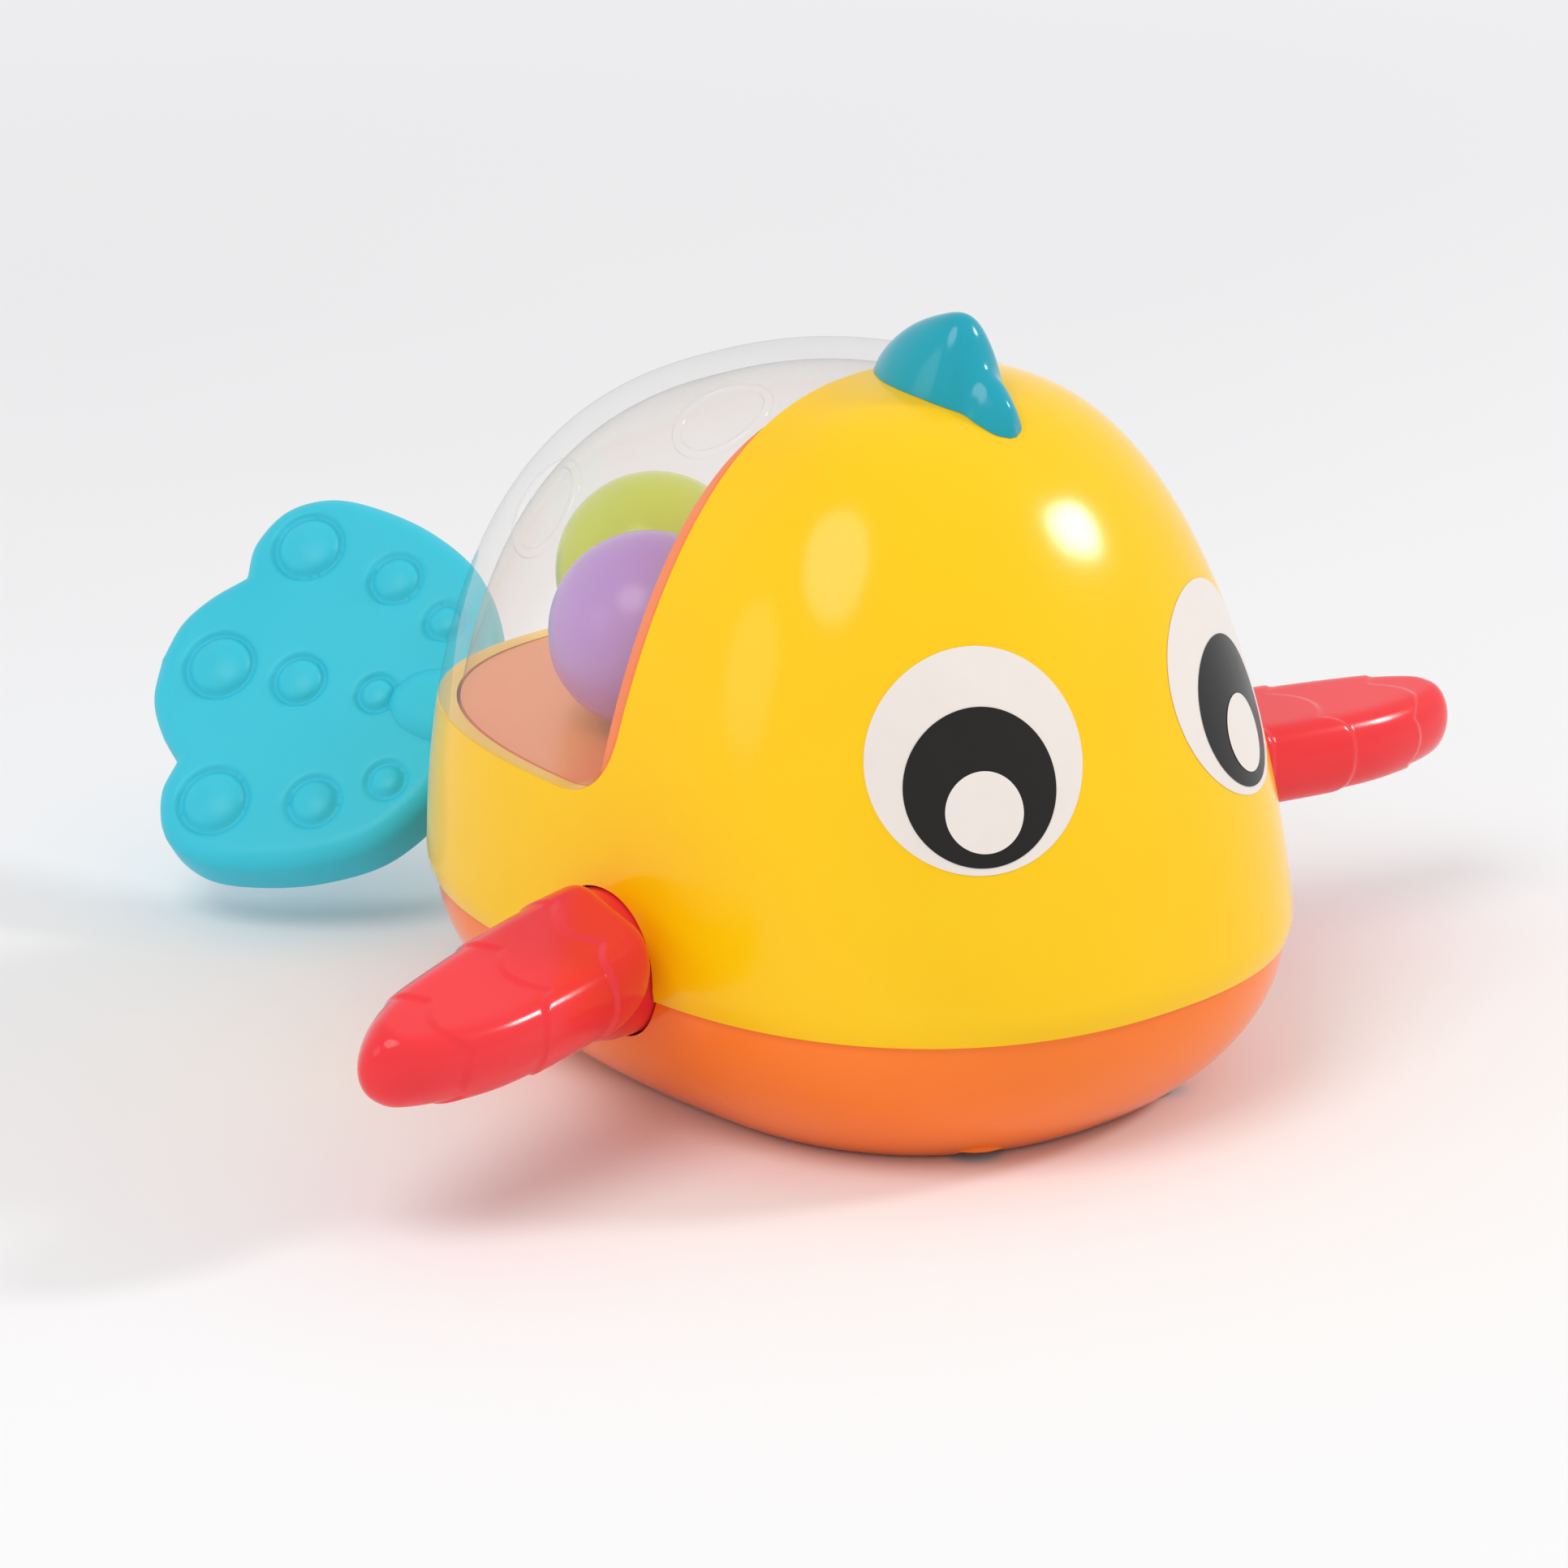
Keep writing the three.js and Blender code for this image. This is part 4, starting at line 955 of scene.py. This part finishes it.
def covered(span, chord):
    """How many scale rows cover a point."""
    rows = 0
    for index, end in enumerate(SCALE_ENDS):
        place = np.mod(chord / SCALE_WIDTH + 0.5 * index, 1) * 2 - 1
        edge = end + SCALE_BULGE * (1 - place ** 2)
        ramp = np.clip((edge - span) / SCALE_SOFT + 0.5, 0, 1)
        rows = rows + ramp * ramp * (3 - 2 * ramp)
    return rows


proud = SCALE_STEP * (covered(fin_points[:, 1], fin_points[:, 0]) - len(SCALE_ENDS))
scaled = fin_points + proud[:, None] * fin_normals
for side, word in ((-1, "right"), (1, "left")):
    a = math.radians(FIN_PHASE[word])
    turned = np.stack([scaled[:, 0] * math.cos(a) + scaled[:, 2] * math.sin(a), side * scaled[:, 1],
                       scaled[:, 2] * math.cos(a) - scaled[:, 0] * math.sin(a)], axis=1)
    paddle = make_object(f"paddle_{word}", turned + (AXLE_X, 0, AXLE_Z), fin_faces, red_abs, 60)
    dress(paddle, "fins", "red_plastic", f"fin_{word}")

# %% [markdown]
# ## The tail
# The tail is a soft PVC plate with three lobes and ringed bumps on both faces. A height field
# fits it well: every point of the plate knows its distance to the edge, which rounds it off, and
# to the bumps, which raise domes with a groove round each.

# %% Tail frame
PIVOT = np.array((-62.6, 0.0, CORD_Z))
TAIL_YAW = math.radians(24.2)
TAIL_PITCH = math.radians(-2.3)
TAIL_ROLL = math.radians(44.9)
outward = np.array((-math.cos(TAIL_YAW) * math.cos(TAIL_PITCH), -math.sin(TAIL_YAW) * math.cos(TAIL_PITCH),
                    -math.sin(TAIL_PITCH)))
tail_level = np.cross(outward, (0, 0, 1))
tail_level /= np.linalg.norm(tail_level)
upright = np.cross(tail_level, outward)
tail_rise = math.cos(TAIL_ROLL) * upright + math.sin(TAIL_ROLL) * tail_level
tail_face = np.cross(outward, tail_rise)


def on_tail(points):
    """Points as span, rise and height on the tail, placed in the frame."""
    return PIVOT + points @ np.stack([outward, tail_rise, tail_face])


print("tail points along", outward.round(3))

# %% Tail plate
TAIL_THICK = 8.0
TAIL_EDGE = 2.6
BUMP_RISE = 0.28
BUMP_POWER = 0.8
GROOVE = 0.45
GROOVE_DEPTH = 0.55
# Half the outline, then each bump: span from the pivot, rise off the middle line and radius.
LOBE_HALF = ((47.6, 0), (46.8, 5), (44.4, 9), (41, 12.4), (41.4, 17), (39, 22), (33.9, 24.6), (27.4, 24.4),
             (19.9, 22.4), (12.9, 18.4), (8.4, 12), (6.8, 6), (6.5, 0))
NOTCH = 3
BUMPS = ((39.3, 0, 3.6), (29, 0, 2.6), (19, 0, 1.8), (33.9, 17.1, 3.6), (21.8, 14.9, 2.6), (14, 10.6, 1.8))
TAIL_MIDDLE = np.array((25.0, 0.0))
soft_pvc = moulded_plastic("PVC moulded soft, cyan", "2FC3DA", "3DCAE0", 0.42,
                           swell=0.06, soft=0.15, ior=1.53)


def tail_outline():
    """The plate's outline, mirrored about its middle, with a crease at each notch."""
    lobe = np.concatenate([through(LOBE_HALF[:NOTCH + 1], 16)[:-1], through(LOBE_HALF[NOTCH:], 16)])
    return np.concatenate([lobe, (lobe * (1, -1))[-2:0:-1]])


def edge_distance(points, outline):
    """Distance from each point to the outline."""
    best = np.full(len(points), np.inf)
    for a, b in zip(outline, np.roll(outline, -1, axis=0)):
        run = b - a
        share = np.clip((points - a) @ run / (run @ run), 0, 1)[:, None]
        best = np.minimum(best, np.linalg.norm(points - a - share * run, axis=1))
    return best


def plate_height(points, outline):
    """Half thickness over the plate: rounded edge, domes and grooves."""
    inside = np.clip(edge_distance(points, outline), 0, TAIL_EDGE)
    rounding = np.sqrt(np.clip(TAIL_EDGE ** 2 - (TAIL_EDGE - inside) ** 2, 0, None))
    height = TAIL_THICK / 2 - TAIL_EDGE + rounding
    for s, t, r in BUMPS:
        for sign in ((1,) if t == 0 else (1, -1)):
            away = np.linalg.norm(points - (s, sign * t), axis=1)
            height += BUMP_RISE * r * np.clip(1 - (away / r) ** 2, 0, None) ** BUMP_POWER
            height -= GROOVE_DEPTH * np.exp(-((away - r - GROOVE) / GROOVE) ** 2)
    return height


outline = tail_outline()
steps = np.concatenate([np.linspace(0, 0.9, 80), np.linspace(0.9, 1, 26)[1:]])
flat = [TAIL_MIDDLE + share * (outline - TAIL_MIDDLE) for share in steps]
heights = [plate_height(ring, outline) for ring in flat]
front_rings = [np.column_stack([ring, h]) for ring, h in zip(flat, heights)]
back_rings = [np.column_stack([ring, -h]) for ring, h in zip(flat[::-1], heights[::-1])]
plate = np.concatenate(front_rings + back_rings)
faces = skin_faces(2 * len(flat), len(outline), caps=False)
print("tail plate", len(plate), "points")

# %% Tail neck
# The neck is a lathe: span from the pivot, and radius.
NECK_POINTS = 64
NECK = ((2.8, 0.01), (2.8, 3.6), (3.4, 4.8), (5.0, 6.1), (10, 6.3), (14.4, 5.5), (17, 4.0),
        (18.4, 2.0), (18.8, 0.01))
turn_about = np.linspace(0, 2 * np.pi, NECK_POINTS, endpoint=False)
neck = [np.stack([np.full(NECK_POINTS, s), r * np.cos(turn_about), r * np.sin(turn_about)], axis=1)
        for s, r in through(NECK, 6)]
faces += skin_faces(len(neck), NECK_POINTS, start=len(plate))
tail = make_object("tail_plate", on_tail(np.concatenate([plate] + neck)), faces, soft_pvc, 60)
dress(tail, "tail", "cyan_soft", "tail")

# %% [markdown]
# ## The cord and its bush
# The pull cord is braided polyester, 1.6 mm thick. It runs from the spool through a white bush in
# the rear wall to a knot inside the tail. When the tail is pulled, the stretch from the spool
# draws out; here that stretch is one straight tube to the tail's pivot, and the short end stays in the
# tail.

# %% Cord finish and pieces
def braided_cord():
    """Braided polyester: fine slanting strands, 0.5 mm apart, drawn as a wave bump with painted shade in
    its grooves.
    """
    material, tree = new_finish("polyester cord, braided white")
    place = put(tree, "ShaderNodeTexCoord")
    lay = put(tree, "ShaderNodeTexWave", {"wave_type": "BANDS", "bands_direction": "DIAGONAL"},
              {"Scale": 1 / (1.6 * MM), "Distortion": 1.0}, {"Vector": place.outputs["Object"]})
    # painted shade: the tint is darker where the wave bump sinks, in the grooves between strands
    tint = put(tree, "ShaderNodeMix", {"data_type": "RGBA"},
               {"A": linear("D9D8D3"), "B": linear("F4F3F0")}, {"Factor": lay.outputs["Fac"]})
    strands = put(tree, "ShaderNodeBump", values={"Strength": 0.5, "Distance": 0.15 * MM},
                  links={"Height": lay.outputs["Fac"]})
    yarn = put(tree, "ShaderNodeBsdfPrincipled", values={"Roughness": 0.75, "Sheen Weight": 0.3},
               links={"Base Color": tint.outputs["Result"], "Normal": strands.outputs["Normal"]})
    put(tree, "ShaderNodeOutputMaterial", links={"Surface": yarn.outputs["BSDF"]})
    return material


CORD_RADIUS = 0.8
SPOOL_X = -21.793
KNOT_AT = 8.4
CORD_POINTS = 20
cord_white = braided_cord()
cord_turn = np.linspace(0, 2 * np.pi, CORD_POINTS, endpoint=False)
cord_y = CORD_RADIUS * np.cos(cord_turn)
cord_z = CORD_RADIUS * np.sin(cord_turn)
run = [np.stack([np.full(CORD_POINTS, x), cord_y, CORD_Z + cord_z], axis=1)
       for x in np.linspace(SPOOL_X - 0.5, PIVOT[0], 90)]
pulled = skin("cord_run", run, cord_white, 60)
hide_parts("pull_cord")
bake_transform(pulled)
tip = [np.stack([np.full(CORD_POINTS, s), cord_y, cord_z], axis=1)
       for s in np.linspace(-0.2, KNOT_AT - 1, 24)]
cord_end = skin("cord_end", [on_tail(ring) for ring in tip], cord_white, 60)
dress(cord_end, "knot", "white_cord")

# %% [markdown]
# ## Bush, anchor and the works inside
# Acetal bushes and gears, drawn steel rods and a rolled spring hide in the hull. Their solids are
# true already, so they keep their shapes and only get finishes.

# %% Finishes for the works
white_acetal = moulded_plastic("acetal moulded white", "EDEDE8", "F3F3EF", 0.38, ior=1.48)
grey_abs = moulded_plastic("ABS moulded pale grey", "DCDFE1", "E4E6E8", 0.4)


def drawn_steel(name, colour, grain):
    """Drawn or rolled steel: fine lines along the metal that stretch the shine across them."""
    material, tree = new_finish(name)
    place = put(tree, "ShaderNodeTexCoord")
    stretch = put(tree, "ShaderNodeMapping", values={"Scale": grain},
                  links={"Vector": place.outputs["Object"]})
    lines = put(tree, "ShaderNodeTexNoise", values={"Scale": 1.0, "Detail": 3.0},
                links={"Vector": stretch.outputs["Vector"]})
    gloss = put(tree, "ShaderNodeMapRange", values={"To Min": 0.22, "To Max": 0.42},
                links={"Value": lines.outputs["Fac"]})
    metal = put(tree, "ShaderNodeBsdfPrincipled", values={"Base Color": linear(colour), "Metallic": 1.0},
                links={"Roughness": gloss.outputs["Result"]})
    put(tree, "ShaderNodeOutputMaterial", links={"Surface": metal.outputs["BSDF"]})
    return material


rod_steel = drawn_steel("steel rod, drawn", "C4C7CA", (1500, 120, 1500))
strip_steel = drawn_steel("spring steel strip, rolled", "A5A9AE", (1500, 1500, 300))
WORKS = {
    white_acetal: ("cord_spool", "axle_pinion", "axle_bush_right", "axle_bush_left", "cord_bush"),
    grey_abs: ("motor_case", "motor_lid", "tail_anchor"),
    rod_steel: ("spool_shaft", "fin_axle", "motor_screw_1", "motor_screw_2",
                "hull_screw_1", "hull_screw_2", "hull_screw_3", "hull_screw_4"),
    strip_steel: ("mainspring",),
    cord_white: ("cord_winding", "cord_knot"),
}
for finish, names in WORKS.items():
    for name in names:
        for place in nodes[name].material_slots:
            place.link = "OBJECT"
            place.material = finish
print("works dressed:", sum(len(names) for names in WORKS.values()))
